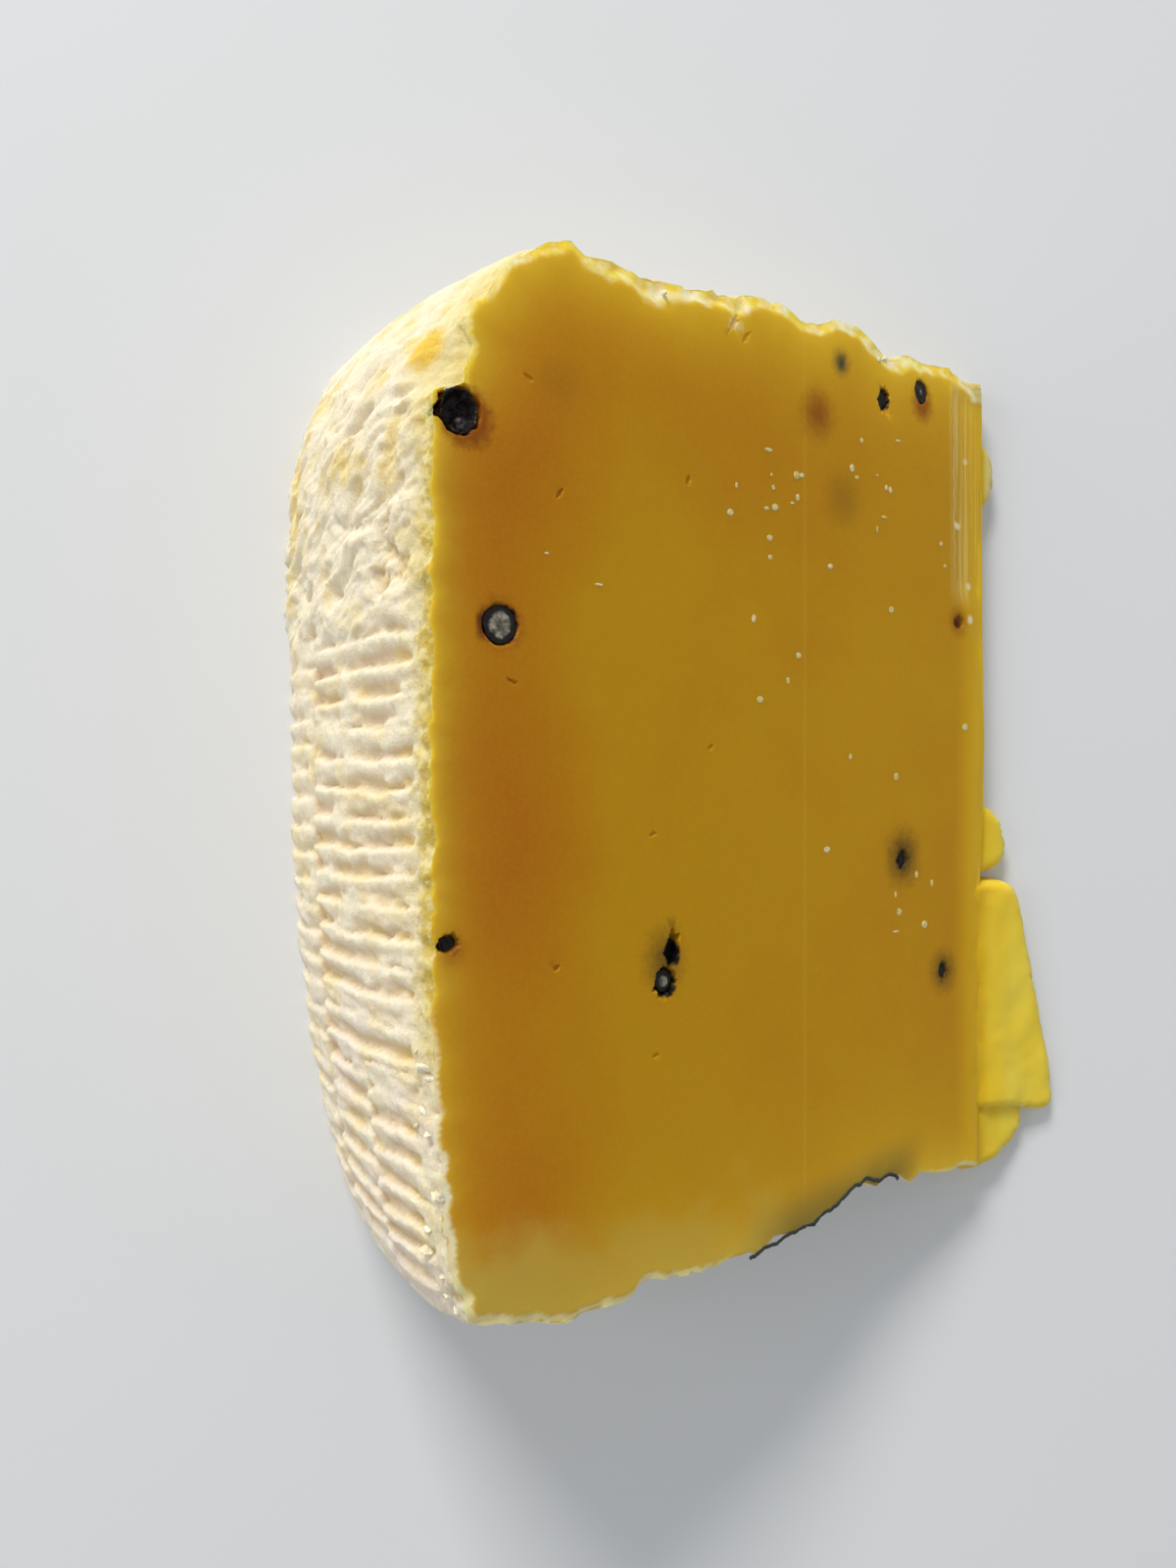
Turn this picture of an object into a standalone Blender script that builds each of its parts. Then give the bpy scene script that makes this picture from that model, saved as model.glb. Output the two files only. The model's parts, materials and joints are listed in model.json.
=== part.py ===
"""A wedge of ribbed farmhouse cheese with black peppercorns, lying on one of its two cut faces.

The wheel's axis is parallel to Y. The wedge's two cut faces meet at an edge called the apex,
on the table at +X, and the ribbed rind of the wheel's side is the heel, at -X. The heel is
higher than the tip, so the upper cut face slopes down towards +X. All sizes are in metres.
"""

import math

import bmesh
import bpy
from mathutils import Matrix, Vector, noise

MM = 0.001

# The wedge: radii run from the apex, and the upper cut face is a little shorter than the lower one
RADIUS_AT_FOOT = 108.1 * MM
RADIUS_AT_ARRIS = 100.1 * MM
WEDGE_ANGLE = math.radians(22.7)
CUT_LENGTH = 86.5 * MM
APEX_X = 53.77 * MM
APEX_Y = -0.57 * MM

# The wheel's two flat faces: distance from the heel along a cut, and height along the wheel's axis
SMOOTH_TOP = ((0, 59.8), (18, 60.6), (50, 59.8), (90, 57.0))
SMOOTH_BOTTOM = ((0, -58.8), (40, -58.2), (65, -53.6), (90, -53.4))
BROKEN_TOP = (
    (0, 59.8), (17, 60.1), (27, 59.4), (40, 59.6), (49, 60.4), (51.5, 59.4), (61, 60.0), (68, 57.6),
    (75, 58.2), (83, 57.6), (87, 55.8),
)
BROKEN_BOTTOM = (
    (0, -57.6), (8, -58.0), (12, -58.7), (19, -59.4), (25, -59.3), (28, -58.1), (41, -58.5), (49, -56.5), (54, -56.2), (62.5, -52.3),
    (65, -53.2), (68, -52.5), (70.5, -53.9), (87, -54.2),
)
BROKEN_FROM = 0.78

# The rounding of the heel's ends: start height, reach along a cut, and squareness
FOOT_TOP_CORNER = (34 * MM, 16.0 * MM, 1.9)
FOOT_BOTTOM_CORNER = (-2 * MM, 11.5 * MM, 1.72)
ARRIS_TOP_CORNER = (40 * MM, 15.5 * MM, 1.4)
ARRIS_BOTTOM_CORNER = (-6 * MM, 8.0 * MM, 3.2)

# The ribs that the basket pressed into the heel, in two columns with a seam between them
RIB_PITCH = 3.3 * MM
RIB_DEPTH = 0.75 * MM
RIB_SAMPLES = 4
RIB_SPAN = 52 * MM
RIB_WANDER = 0.9 * MM
SEAM_SHARE = 0.31
SEAM_DEPTH = 0.5 * MM
CRUMBLED_FROM = 0.90
CRUMBLE_DEPTH = 1.1 * MM
LUMP_SIZE = 6.0 * MM
LUMP_HEIGHT = 0.45 * MM
ROUGH_FROM = 13 * MM
ROUGH_DEPTH = 1.5 * MM
ROUGH_LONG = 8.5 * MM
ROUGH_SHORT = 3.6 * MM
ROUGH_SLOPE = 0.5

# The corner that broke off the heel's edge beside the largest peppercorn
CHIP_HEIGHTS = (41.0 * MM, 44.0 * MM, 51.5 * MM)
CHIP_DEPTH = 3.6 * MM
CHIP_FROM = 0.84

# The basket's rings on the wheel's two flat faces
RING_PITCH = 7.0 * MM
RING_DEPTH = 0.45 * MM

# The mesh: rings of points from one cut to the other, and points along each side
RING_STEPS = 15
RING_CROWDING = 0.35
CORNER_SAMPLES = 7
FLAT_SAMPLES = 34
TIP_SAMPLES = 26
TIP_ROUGHNESS = 0.5 * MM

# The strip that a second stroke of the knife shaved off beside the tip
SHAVED_DEPTH = 0.45 * MM
SHAVED_WIDTH = 5.8 * MM
SHAVED_TOP = 62 * MM
SHAVED_BOTTOM = 26 * MM

# Thin torn flakes left standing out of the tip: outline as distance from the foot and height along the axis,
# then the thickness at the root and at the outer edge
FLAKE_ROOT = 91 * MM
FLAKES = (
    ("middle", ((91, -1.5), (97.3, -2.6), (99.8, -4.3), (101.2, -7.1), (101.5, -10.0), (99.9, -12.6), (91, -13.8)),
     3.4, 1.5),
    ("large", ((91, -13.2), (98, -13.4), (101.3, -13.9), (103, -16.0), (105.4, -26.4), (107.8, -35.8),
               (108.9, -47.9), (103, -47.4), (91, -46.6)), 4.3, 2.2),
    ("lower", ((91, -46.0), (104.6, -47.0), (104.3, -49.3), (102.3, -52.2), (99.2, -54.8), (95.5, -56.0), (91, -55.0)), 2.8, 1.4),
    ("upper", ((91, 50.0), (97.3, 48.9), (98.2, 44.7), (98.1, 41.6), (97.2, 40.0), (91, 39.0)), 3.0, 1.2),
)
FLAKE_EDGE = 109 * MM

# Peppercorns that the knife met: distance from the heel, height along the axis, width along the cut,
# height, how far the cut top lies below the cut face, and how far the middle lies below it
PEPPERCORNS = (
    (3.1, 39.1, 5.2, 5.4, 0.25, 1.5),
    (8.1, 17.0, 4.4, 4.5, 0.15, 0.6),
    (1.9, -16.6, 2.8, 2.2, 0.15, 0.6),
    (30.4, -22.4, 3.9, 4.4, 0.70, 1.4),
    (66.7, 51.2, 2.3, 3.4, 0.15, 0.5),
    (74.0, 53.5, 2.5, 3.5, 0.15, 0.5),
    (81.7, 22.6, 3.0, 3.5, 0.20, 0.3),
    (70.3, -9.9, 2.9, 4.1, 0.20, 0.7),
    (78.4, -25.8, 2.9, 3.6, 0.20, 0.5),
)
PEPPERCORN_SEGMENTS = 14
PEPPERCORN_RINGS = 9
PEPPERCORN_WRINKLE = 0.045
POCKET_GAP = 0.3 * MM
TORN_POCKET = (30.6, -20.6, 4.6, 6.6, 0.6)

PASTE = ("cheese", (0.56, 0.33, 0.035), 0.42)
PEPPER = ("peppercorn", (0.035, 0.022, 0.016), 0.55)


def clear_scene():
    """Removes whatever the startup scene holds."""
    for obj in list(bpy.data.objects):
        bpy.data.objects.remove(obj)


def make_material(name, colour, roughness):
    """A plain finish of one colour."""
    material = bpy.data.materials.new(name)
    material.use_nodes = True
    shader = material.node_tree.nodes["Principled BSDF"]
    shader.inputs["Base Color"].default_value = (*colour, 1.0)
    shader.inputs["Roughness"].default_value = roughness
    shader.inputs["Metallic"].default_value = 0.0
    return material


def smooth(low, high, value):
    """0 below low, 1 above high, and an even turn between."""
    share = min(1.0, max(0.0, (value - low) / (high - low)))
    return share * share * (3 - 2 * share)


def mix(first, second, share):
    """A value that far from the first to the second."""
    return first + (second - first) * share


def along(points, distance):
    """Height, in metres, of a broken line of millimetre points at a distance in metres."""
    place = distance / MM
    for (x0, y0), (x1, y1) in zip(points, points[1:]):
        if place <= x1:
            return mix(y0, y1, min(1.0, max(0.0, (place - x0) / (x1 - x0)))) * MM
    return points[-1][1] * MM


def on_wedge(radius, height, share):
    """The point at a radius from the apex, at a share of the turn from the lower cut to the upper one."""
    angle = WEDGE_ANGLE * share
    return Vector((APEX_X - radius * math.cos(angle), APEX_Y + height, radius * math.sin(angle)))


def heel_radius(share):
    """Radius of the even heel, which the cut through the wheel made longer at the foot."""
    return mix(RADIUS_AT_FOOT, RADIUS_AT_ARRIS, share)


def flat_faces(distance, share):
    """Heights of the wheel's lower and upper flat face: even near the table, broken at the upper cut."""
    broken = smooth(BROKEN_FROM, 1.0, share)
    bottom = mix(along(SMOOTH_BOTTOM, distance), along(BROKEN_BOTTOM, distance), broken)
    top = mix(along(SMOOTH_TOP, distance), along(BROKEN_TOP, distance), broken)
    return bottom, top


def rounding(height, end, corner):
    """How far a rounded corner sets the heel back at a height."""
    start, reach, squareness = corner
    share = min(1.0, max(0.0, (height - start) / (end - start)))
    return reach * (1 - (1 - share**squareness) ** (1 / squareness))


def heel_setback(height, share):
    """How far the rounded ends and the broken corner set the heel back."""
    bottom, top = flat_faces(0.0, share)
    foot = rounding(height, top, FOOT_TOP_CORNER) + rounding(height, bottom, FOOT_BOTTOM_CORNER)
    arris = rounding(height, top, ARRIS_TOP_CORNER) + rounding(height, bottom, ARRIS_BOTTOM_CORNER)
    low, middle, high = CHIP_HEIGHTS
    chip = CHIP_DEPTH * smooth(low, middle, height) * (1 - smooth(middle, high, height))
    return mix(foot, arris, share) + chip * smooth(CHIP_FROM, 1.0, share)


def rough_relief(arc, height):
    """The coarse lumps of the heel's upper part, longer than wide and rising towards the arris."""
    across = (height - ROUGH_SLOPE * arc) / ROUGH_SHORT
    return ROUGH_DEPTH * (noise.noise(Vector((arc / ROUGH_LONG, across, 1.3))) - 0.25)


def heel_relief(height, share):
    """The ribs, the seam and the lumps of the heel, as a height over its even surface."""
    arc = share * WEDGE_ANGLE * RADIUS_AT_ARRIS
    wander = RIB_WANDER * noise.noise(Vector((arc / (20 * MM), height / (15 * MM), 3.7)))
    column = 0.5 if share < SEAM_SHARE else 0.0
    turn = (height + wander) / RIB_PITCH + column
    groove = (0.5 - 0.5 * math.cos(2 * math.pi * turn)) ** 2
    whole = (1 - smooth(CRUMBLED_FROM, 1.0, share)) * (1 - smooth(RIB_SPAN - 4 * MM, RIB_SPAN, abs(height)))
    rough = smooth(ROUGH_FROM, ROUGH_FROM + 8 * MM, height)
    ribs = mix(-RIB_DEPTH * groove, rough_relief(arc, height), rough)
    seam = SEAM_DEPTH * math.exp(-(((share - SEAM_SHARE) / 0.03) ** 2))
    lump = LUMP_HEIGHT * noise.noise(Vector((arc, height, 0)) / LUMP_SIZE)
    crumble = CRUMBLE_DEPTH * abs(noise.noise(Vector((7.1, height / (4 * MM), 2.3))))
    return lump + (ribs - seam) * whole - crumble * smooth(CRUMBLED_FROM, 1.0, share)


def ring_relief(radius, side):
    """The shallow rings that the basket left on the wheel's flat faces."""
    uneven = noise.noise(Vector((radius / (9 * MM), side, 5.0)))
    return RING_DEPTH * (uneven + 0.5 * math.cos(2 * math.pi * radius / RING_PITCH))


def tip_radius(height, share):
    """Radius of the torn end of the tip, which stands upright on the table."""
    upright = (RADIUS_AT_ARRIS - CUT_LENGTH) * math.cos(WEDGE_ANGLE)
    torn = TIP_ROUGHNESS * noise.noise(Vector((height / (7 * MM), share * 1.5, 9.2)))
    return (upright + torn) / math.cos(WEDGE_ANGLE * share)


def steps(first, last, count):
    """Evenly spaced values from the first to the last, both of them included."""
    return [mix(first, last, i / count) for i in range(count + 1)]


def heel_heights(bottom, top):
    """Heights of the points up the heel: evenly through the ribs, and crowding towards each end."""
    ribs = steps(-RIB_SPAN, RIB_SPAN, 2 * round(RIB_SPAN / RIB_PITCH * RIB_SAMPLES))
    turns = [math.sin(0.5 * math.pi * turn) for turn in steps(0, 1, CORNER_SAMPLES)[1:]]
    low = [mix(-RIB_SPAN, bottom, turn) for turn in reversed(turns)]
    return low + ribs + [mix(RIB_SPAN, top, turn) for turn in turns]


def flat_side(first, last, share, side):
    """Points across one flat face of the wheel, between two radii and without them."""
    points = []
    for place in steps(0, 1, FLAT_SAMPLES)[1:-1]:
        radius = mix(first, last, place)
        height = flat_faces(heel_radius(share) - radius, share)[side > 0]
        relief = ring_relief(radius, side) * math.sqrt(math.sin(math.pi * place))
        points.append((radius, height + side * relief))
    return points


def section(share):
    """The wheel's half section at a share of the turn: (radius, height) points up the heel and round by the tip."""
    heel = [
        (heel_radius(share) - heel_setback(height, share) + heel_relief(height, share), height)
        for height in heel_heights(*flat_faces(0.0, share))
    ]
    low, high = flat_faces(CUT_LENGTH, share)
    tip = [(tip_radius(height, share), height) for height in steps(high, low, TIP_SAMPLES)]
    top = flat_side(heel[-1][0], tip[0][0], share, 1)
    bottom = flat_side(tip[-1][0], heel[0][0], share, -1)
    return heel + top + tip + bottom


def wedge_mesh():
    """Spins the half section through the wedge's angle, then gives each section its own outline."""
    mesh = bmesh.new()
    start = section(0.0)
    face = mesh.faces.new([mesh.verts.new(on_wedge(radius, height, 0.0)) for radius, height in start])
    bmesh.ops.spin(
        mesh, geom=[face], cent=(APEX_X, APEX_Y, 0), axis=(0, 1, 0), angle=WEDGE_ANGLE, steps=RING_STEPS,
        use_duplicate=False,
    )
    mesh.verts.ensure_lookup_table()
    for ring in range(RING_STEPS + 1):
        even = ring / RING_STEPS
        share = even - RING_CROWDING * math.sin(2 * math.pi * even) / (2 * math.pi)
        for number, (radius, height) in enumerate(section(share)):
            mesh.verts[ring * len(start) + number].co = on_wedge(radius, height, share)
    bmesh.ops.recalc_face_normals(mesh, faces=mesh.faces)
    return mesh


def mesh_object(name, mesh, collection, material=None):
    """Turns a bmesh into an object of a collection."""
    data = bpy.data.meshes.new(name)
    mesh.to_mesh(data)
    mesh.free()
    obj = bpy.data.objects.new(name, data)
    if material:
        data.materials.append(material)
    collection.objects.link(obj)
    return obj


def helper(obj):
    """Keeps a cutter or a joined piece out of the finished object."""
    obj.hide_render = True
    obj.display_type = "WIRE"
    return obj


def cut_face_frame():
    """The upper cut face: X away from the heel, Y along the wheel's axis, Z out of the cheese."""
    start = on_wedge(RADIUS_AT_ARRIS, 0.0, 1.0)
    return Matrix.Translation(start) @ Matrix.Rotation(WEDGE_ANGLE, 4, "Y")


def flake_outline(points):
    """A flake's outline as a flat curve, made a mesh with a thin slab of material."""
    curve = bpy.data.curves.new("flake", "CURVE")
    curve.dimensions = "2D"
    curve.fill_mode = "BOTH"
    curve.extrude = 0.5 * MM
    spline = curve.splines.new("POLY")
    spline.points.add(len(points) - 1)
    for point, (distance, height) in zip(spline.points, points):
        point.co = (APEX_X - RADIUS_AT_FOOT + distance * MM, APEX_Y + height * MM, 0, 1)
    spline.use_cyclic_u = True
    obj = bpy.data.objects.new("flake_outline", curve)
    bpy.context.scene.collection.objects.link(obj)
    bpy.context.view_layer.update()
    slab = bpy.data.meshes.new_from_object(obj.evaluated_get(bpy.context.evaluated_depsgraph_get()))
    bpy.data.objects.remove(obj)
    return slab


def add_flake(name, points, root, edge, collection):
    """A torn flake that lies on the table and thins towards its outer edge."""
    mesh = bmesh.new()
    mesh.from_mesh(flake_outline(points))
    bmesh.ops.remove_doubles(mesh, verts=mesh.verts, dist=0.01 * MM)
    start = APEX_X - RADIUS_AT_FOOT + FLAKE_ROOT
    reach = FLAKE_EDGE - FLAKE_ROOT
    for vert in mesh.verts:
        share = min(1.0, max(0.0, (vert.co.x - start) / reach))
        vert.co.z = mix(root, edge, share) * MM if vert.co.z > 0 else 0.0
    bmesh.ops.recalc_face_normals(mesh, faces=mesh.faces)
    return helper(mesh_object(f"flake_{name}", mesh, collection))


def ball_on_face(width, height, depth, wrinkle=0.0, seed=0.0, gap=0.0):
    """A ball sunk in the upper cut face, in that face's frame and about its own middle."""
    mesh = bmesh.new()
    bmesh.ops.create_uvsphere(mesh, u_segments=PEPPERCORN_SEGMENTS, v_segments=PEPPERCORN_RINGS, radius=1.0)
    radii = Vector((width / 2, height / 2, (width + height) / 4)) + Vector((gap, gap, gap))
    for vert in mesh.verts:
        swell = 1 + wrinkle * noise.noise(vert.co * 2.2 + Vector((seed, 0, 0)))
        vert.co = Vector(a * b * swell for a, b in zip(vert.co, radii)) - Vector((0, 0, depth))
    return mesh


def add_pocket(number, distance, height, width, length, depth, collection):
    """The hollow that a peppercorn sits in, as a cutter that is open to the cut face."""
    mesh = ball_on_face(width, length, depth, gap=POCKET_GAP)
    mesh.transform(cut_face_frame() @ Matrix.Translation((distance, height, 0)))
    return helper(mesh_object(f"pocket_{number}", mesh, collection))


def add_peppercorn(number, peppercorn, collection, material):
    """A peppercorn that the knife cut through, its flat top just below the cut face."""
    distance, height, width, length, top, depth = (value * MM for value in peppercorn)
    mesh = ball_on_face(width, length, depth, wrinkle=PEPPERCORN_WRINKLE, seed=float(number))
    bmesh.ops.bisect_plane(
        mesh, geom=[*mesh.verts, *mesh.edges, *mesh.faces], dist=0.001 * MM, plane_co=(0, 0, -top),
        plane_no=(0, 0, 1), clear_outer=True,
    )
    rim = [edge for edge in mesh.edges if edge.is_boundary]
    bmesh.ops.edgeloop_fill(mesh, edges=rim)
    bmesh.ops.recalc_face_normals(mesh, faces=mesh.faces)
    obj = mesh_object(f"peppercorn_{number}", mesh, collection, material)
    obj.matrix_world = cut_face_frame() @ Matrix.Translation((distance, height, 0))
    return obj


def shave_strip(collection):
    """The shallow strip beside the tip, as a cutter over the end of the upper cut face."""
    mesh = bmesh.new()
    bmesh.ops.create_cube(mesh, size=1.0)
    above = 4 * MM
    past = 4 * MM
    size = Vector((SHAVED_WIDTH + past, SHAVED_TOP - SHAVED_BOTTOM, SHAVED_DEPTH + above))
    middle = Vector((
        CUT_LENGTH - SHAVED_WIDTH + size.x / 2,
        (SHAVED_TOP + SHAVED_BOTTOM) / 2,
        above - size.z / 2,
    ))
    mesh.transform(cut_face_frame() @ Matrix.Translation(middle) @ Matrix.Diagonal((*size, 1)))
    return helper(mesh_object("shaved_strip", mesh, collection))


def boolean(obj, collection, operation, name):
    """Joins or cuts a whole collection and applies it."""
    modifier = obj.modifiers.new(name, "BOOLEAN")
    modifier.operation = operation
    modifier.operand_type = "COLLECTION"
    modifier.collection = collection
    modifier.solver = "EXACT"
    bpy.context.view_layer.update()
    finished = bpy.data.meshes.new_from_object(obj.evaluated_get(bpy.context.evaluated_depsgraph_get()))
    obj.modifiers.remove(modifier)
    obj.data = finished
    for member in list(collection.objects):
        bpy.data.objects.remove(member)


def build():
    """Makes the cheese and its peppercorns."""
    clear_scene()
    scene = bpy.context.scene.collection
    wedge = bpy.data.collections.new("cheese_wedge")
    flakes = bpy.data.collections.new("flakes")
    cutters = bpy.data.collections.new("cutters")
    for collection in (wedge, flakes, cutters):
        scene.children.link(collection)
    paste = make_material(*PASTE)
    pepper = make_material(*PEPPER)

    cheese = mesh_object("cheese", wedge_mesh(), wedge, paste)
    for name, points, root, edge in FLAKES:
        add_flake(name, points, root, edge, flakes)
    boolean(cheese, flakes, "UNION", "join flakes")

    shave_strip(cutters)
    boolean(cheese, cutters, "DIFFERENCE", "shave the strip")
    for number, peppercorn in enumerate(PEPPERCORNS, 1):
        distance, height, width, length, _, depth = (value * MM for value in peppercorn)
        add_pocket(number, distance, height, width, length, depth, cutters)
        add_peppercorn(number, peppercorn, wedge, pepper)
    add_pocket("torn", *(value * MM for value in TORN_POCKET), cutters)
    boolean(cheese, cutters, "DIFFERENCE", "open the pockets")
    cheese.data.shade_smooth()
    cheese.data.set_sharp_from_angle(angle=math.radians(40))


build()
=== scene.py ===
"""Looks for a wedge of peppered farmhouse cheese, on the frame of its CAD model.

The wedge lies on one cut face. +X runs from the ribbed heel to the torn tip, +Y along the axis of the
wheel, +Z up. Sizes are in millimetres unless a name says otherwise, and become metres in the meshes.
Places on the upper cut face are (distance from the heel, height along the wheel's axis).
"""

import json
import logging
import math
from collections.abc import Sequence
from dataclasses import dataclass, field
from enum import Enum

import bmesh
import bpy
import numpy as np
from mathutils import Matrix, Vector, noise
from mathutils.geometry import delaunay_2d_cdt

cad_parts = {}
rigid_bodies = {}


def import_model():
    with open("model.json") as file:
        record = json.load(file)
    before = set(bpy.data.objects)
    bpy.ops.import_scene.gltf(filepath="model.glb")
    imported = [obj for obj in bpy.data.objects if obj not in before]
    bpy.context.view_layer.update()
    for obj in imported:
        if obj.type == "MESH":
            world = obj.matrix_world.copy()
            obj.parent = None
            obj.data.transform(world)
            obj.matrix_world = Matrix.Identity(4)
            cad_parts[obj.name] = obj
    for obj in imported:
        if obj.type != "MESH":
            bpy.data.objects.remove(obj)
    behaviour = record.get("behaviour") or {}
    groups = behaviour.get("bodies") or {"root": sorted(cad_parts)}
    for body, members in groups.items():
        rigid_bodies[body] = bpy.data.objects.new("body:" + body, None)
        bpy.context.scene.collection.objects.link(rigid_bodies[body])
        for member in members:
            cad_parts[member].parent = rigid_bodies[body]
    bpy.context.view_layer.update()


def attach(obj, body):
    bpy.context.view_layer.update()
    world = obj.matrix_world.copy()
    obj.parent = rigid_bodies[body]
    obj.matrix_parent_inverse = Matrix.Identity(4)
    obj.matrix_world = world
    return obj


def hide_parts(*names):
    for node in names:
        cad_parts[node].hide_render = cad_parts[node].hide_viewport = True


MM = 0.001
log = logging.getLogger("cheese")

Colour = tuple[float, float, float]
Place = tuple[float, float]
Triangles = list[tuple[int, int, int]]


class Socket:
    """A node's output that Python's operators can work on."""

    def __init__(self, graph: "Graph", link: bpy.types.NodeSocket) -> None:
        """Wraps one output.

        Args:
            graph: The tree that new nodes go into.
            link: The output itself.
        """
        self.graph = graph
        self.link = link

    def __add__(self, other: "Value") -> "Socket":
        """self + other."""
        return self.graph.math("ADD", self, other)

    def __radd__(self, other: "Value") -> "Socket":
        """other + self."""
        return self.graph.math("ADD", other, self)

    def __sub__(self, other: "Value") -> "Socket":
        """self - other."""
        return self.graph.math("SUBTRACT", self, other)

    def __rsub__(self, other: "Value") -> "Socket":
        """other - self."""
        return self.graph.math("SUBTRACT", other, self)

    def __mul__(self, other: "Value") -> "Socket":
        """self * other."""
        return self.graph.math("MULTIPLY", self, other)

    def __rmul__(self, other: "Value") -> "Socket":
        """other * self."""
        return self.graph.math("MULTIPLY", other, self)

    def __truediv__(self, other: "Value") -> "Socket":
        """self / other."""
        return self.graph.math("DIVIDE", self, other)

    def __rtruediv__(self, other: "Value") -> "Socket":
        """other / self."""
        return self.graph.math("DIVIDE", other, self)

    def __pow__(self, other: "Value") -> "Socket":
        """self ** other."""
        return self.graph.math("POWER", self, other)

    def __abs__(self) -> "Socket":
        """The size of self without its sign."""
        return self.graph.math("ABSOLUTE", self)

    def smooth(self, low: float, high: float) -> "Socket":
        """0 where self is at low, 1 at high, with an even turn between.

        Args:
            low: Where the result is 0.
            high: Where the result is 1, which may be under low.

        Returns:
            The result, from 0 to 1.
        """
        ends = (low, high, 0.0, 1.0) if low < high else (high, low, 1.0, 0.0)
        inputs = {0: self, **dict(enumerate(ends, 1))}
        return self.graph.add("ShaderNodeMapRange", inputs, interpolation_type="SMOOTHSTEP")


Value = float | Socket


class Graph:
    """Adds nodes to a shader tree or a geometry tree."""

    def __init__(self, tree: bpy.types.NodeTree) -> None:
        """Takes the tree as it is.

        Args:
            tree: The tree that the nodes go into.
        """
        self.tree = tree

    def add(
        self,
        kind: str,
        inputs: dict[str | int, object] | None = None,
        output: str | int = 0,
        **settings: object,
    ) -> Socket:
        """Adds any node.

        Args:
            kind: The node's type.
            inputs: Values or links, by the socket's name or number.
            output: Name or number of the output that is wanted.
            **settings: The node's own settings, which are set first.

        Returns:
            The output.
        """
        node = self.tree.nodes.new(kind)
        for name, value in settings.items():
            setattr(node, name, value)
        for key, value in (inputs or {}).items():
            socket = self.find(node.inputs, key)
            if isinstance(value, Socket):
                self.tree.links.new(value.link, socket)
            else:
                socket.default_value = value
        return Socket(self, self.find(node.outputs, output))

    @staticmethod
    def find(sockets: bpy.types.bpy_prop_collection, key: str | int) -> bpy.types.NodeSocket:
        """Finds a socket that is in use.

        Args:
            sockets: A node's inputs or outputs.
            key: Its number, or its name, which several sockets may share.

        Returns:
            The socket.
        """
        if isinstance(key, int):
            return sockets[key]
        return next(socket for socket in sockets if socket.name == key and socket.enabled)

    def math(self, operation: str, *values: Value) -> Socket:
        """A Math node on one to three values."""
        return self.add("ShaderNodeMath", dict(enumerate(values)), operation=operation)

    def vector_math(self, operation: str, *values: object, output: int = 0) -> Socket:
        """A Vector Math node, whose second output is the number where there is one."""
        return self.add("ShaderNodeVectorMath", dict(enumerate(values)), output=output, operation=operation)

    def dot(self, first: Socket, second: Sequence[float]) -> Socket:
        """The dot product of a vector with a fixed one."""
        return self.vector_math("DOT_PRODUCT", first, tuple(second), output=1)

    def combine(self, x: Value, y: Value, z: Value = 0.0) -> Socket:
        """A vector of three values."""
        return self.add("ShaderNodeCombineXYZ", {0: x, 1: y, 2: z})

    def split(self, vector: Socket) -> tuple[Socket, Socket, Socket]:
        """The three values of a vector."""
        first = self.add("ShaderNodeSeparateXYZ", {0: vector})
        outputs = first.link.node.outputs
        return first, Socket(self, outputs[1]), Socket(self, outputs[2])

    def noise(self, vector: Socket, scale: float, detail: float = 3.0, roughness: float = 0.5) -> Socket:
        """Noise between 0 and 1.

        Args:
            vector: Where it is read.
            scale: How many lumps there are in a unit.
            detail: How many finer layers it has.
            roughness: How much the finer layers count.

        Returns:
            The noise.
        """
        inputs = {"Vector": vector, "Scale": scale, "Detail": detail, "Roughness": roughness}
        return self.add("ShaderNodeTexNoise", inputs)

    def blend(self, factor: Value, first: object, second: object) -> Socket:
        """Mixes two colours.

        Args:
            factor: 0 for the first and 1 for the second.
            first: A colour or a link.
            second: A colour or a link.

        Returns:
            The mixed colour.
        """
        inputs = {0: factor, 6: self.rgba(first), 7: self.rgba(second)}
        return self.add("ShaderNodeMix", inputs, output=2, data_type="RGBA", clamp_factor=True)

    @staticmethod
    def rgba(colour: object) -> object:
        """A colour of three numbers with an alpha of 1, or a link as it is."""
        return colour if isinstance(colour, Socket) else (*colour, 1.0)


class ShaderGraph(Graph):
    """A new material's nodes, on one Principled shader."""

    def __init__(self, name: str, settings: dict[str, object]) -> None:
        """Starts a material.

        Args:
            name: The material's name.
            settings: What is the same all over the surface, by the shader's socket.
        """
        self.material = bpy.data.materials.new(name)
        self.material.use_nodes = True
        super().__init__(self.material.node_tree)
        self.shader = self.tree.nodes["Principled BSDF"]
        for key, value in settings.items():
            self.shader.inputs[key].default_value = value

    def feed(self, **inputs: Socket) -> None:
        """Links what changes over the surface to the shader, by the socket's name with _ for a space."""
        for name, value in inputs.items():
            self.tree.links.new(value.link, self.shader.inputs[name.replace("_", " ")])

    def place(self) -> Socket:
        """The point on the object, in millimetres."""
        point = self.add("ShaderNodeTexCoord", output="Object")
        return self.vector_math("MULTIPLY", point, (1 / MM,) * 3)

    def attribute(self, name: str) -> Socket:
        """A number that the mesh carries."""
        return self.add("ShaderNodeAttribute", output="Fac", attribute_name=name)

    def bump(self, height: Socket, distance: float, strength: float = 1.0) -> Socket:
        """Bump from a height.

        Args:
            height: The height, from 0 to 1.
            distance: What a height of 1 stands for.
            strength: How much of it shows.

        Returns:
            The normal.
        """
        return self.add("ShaderNodeBump", {"Height": height, "Distance": distance * MM, "Strength": strength})


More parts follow.
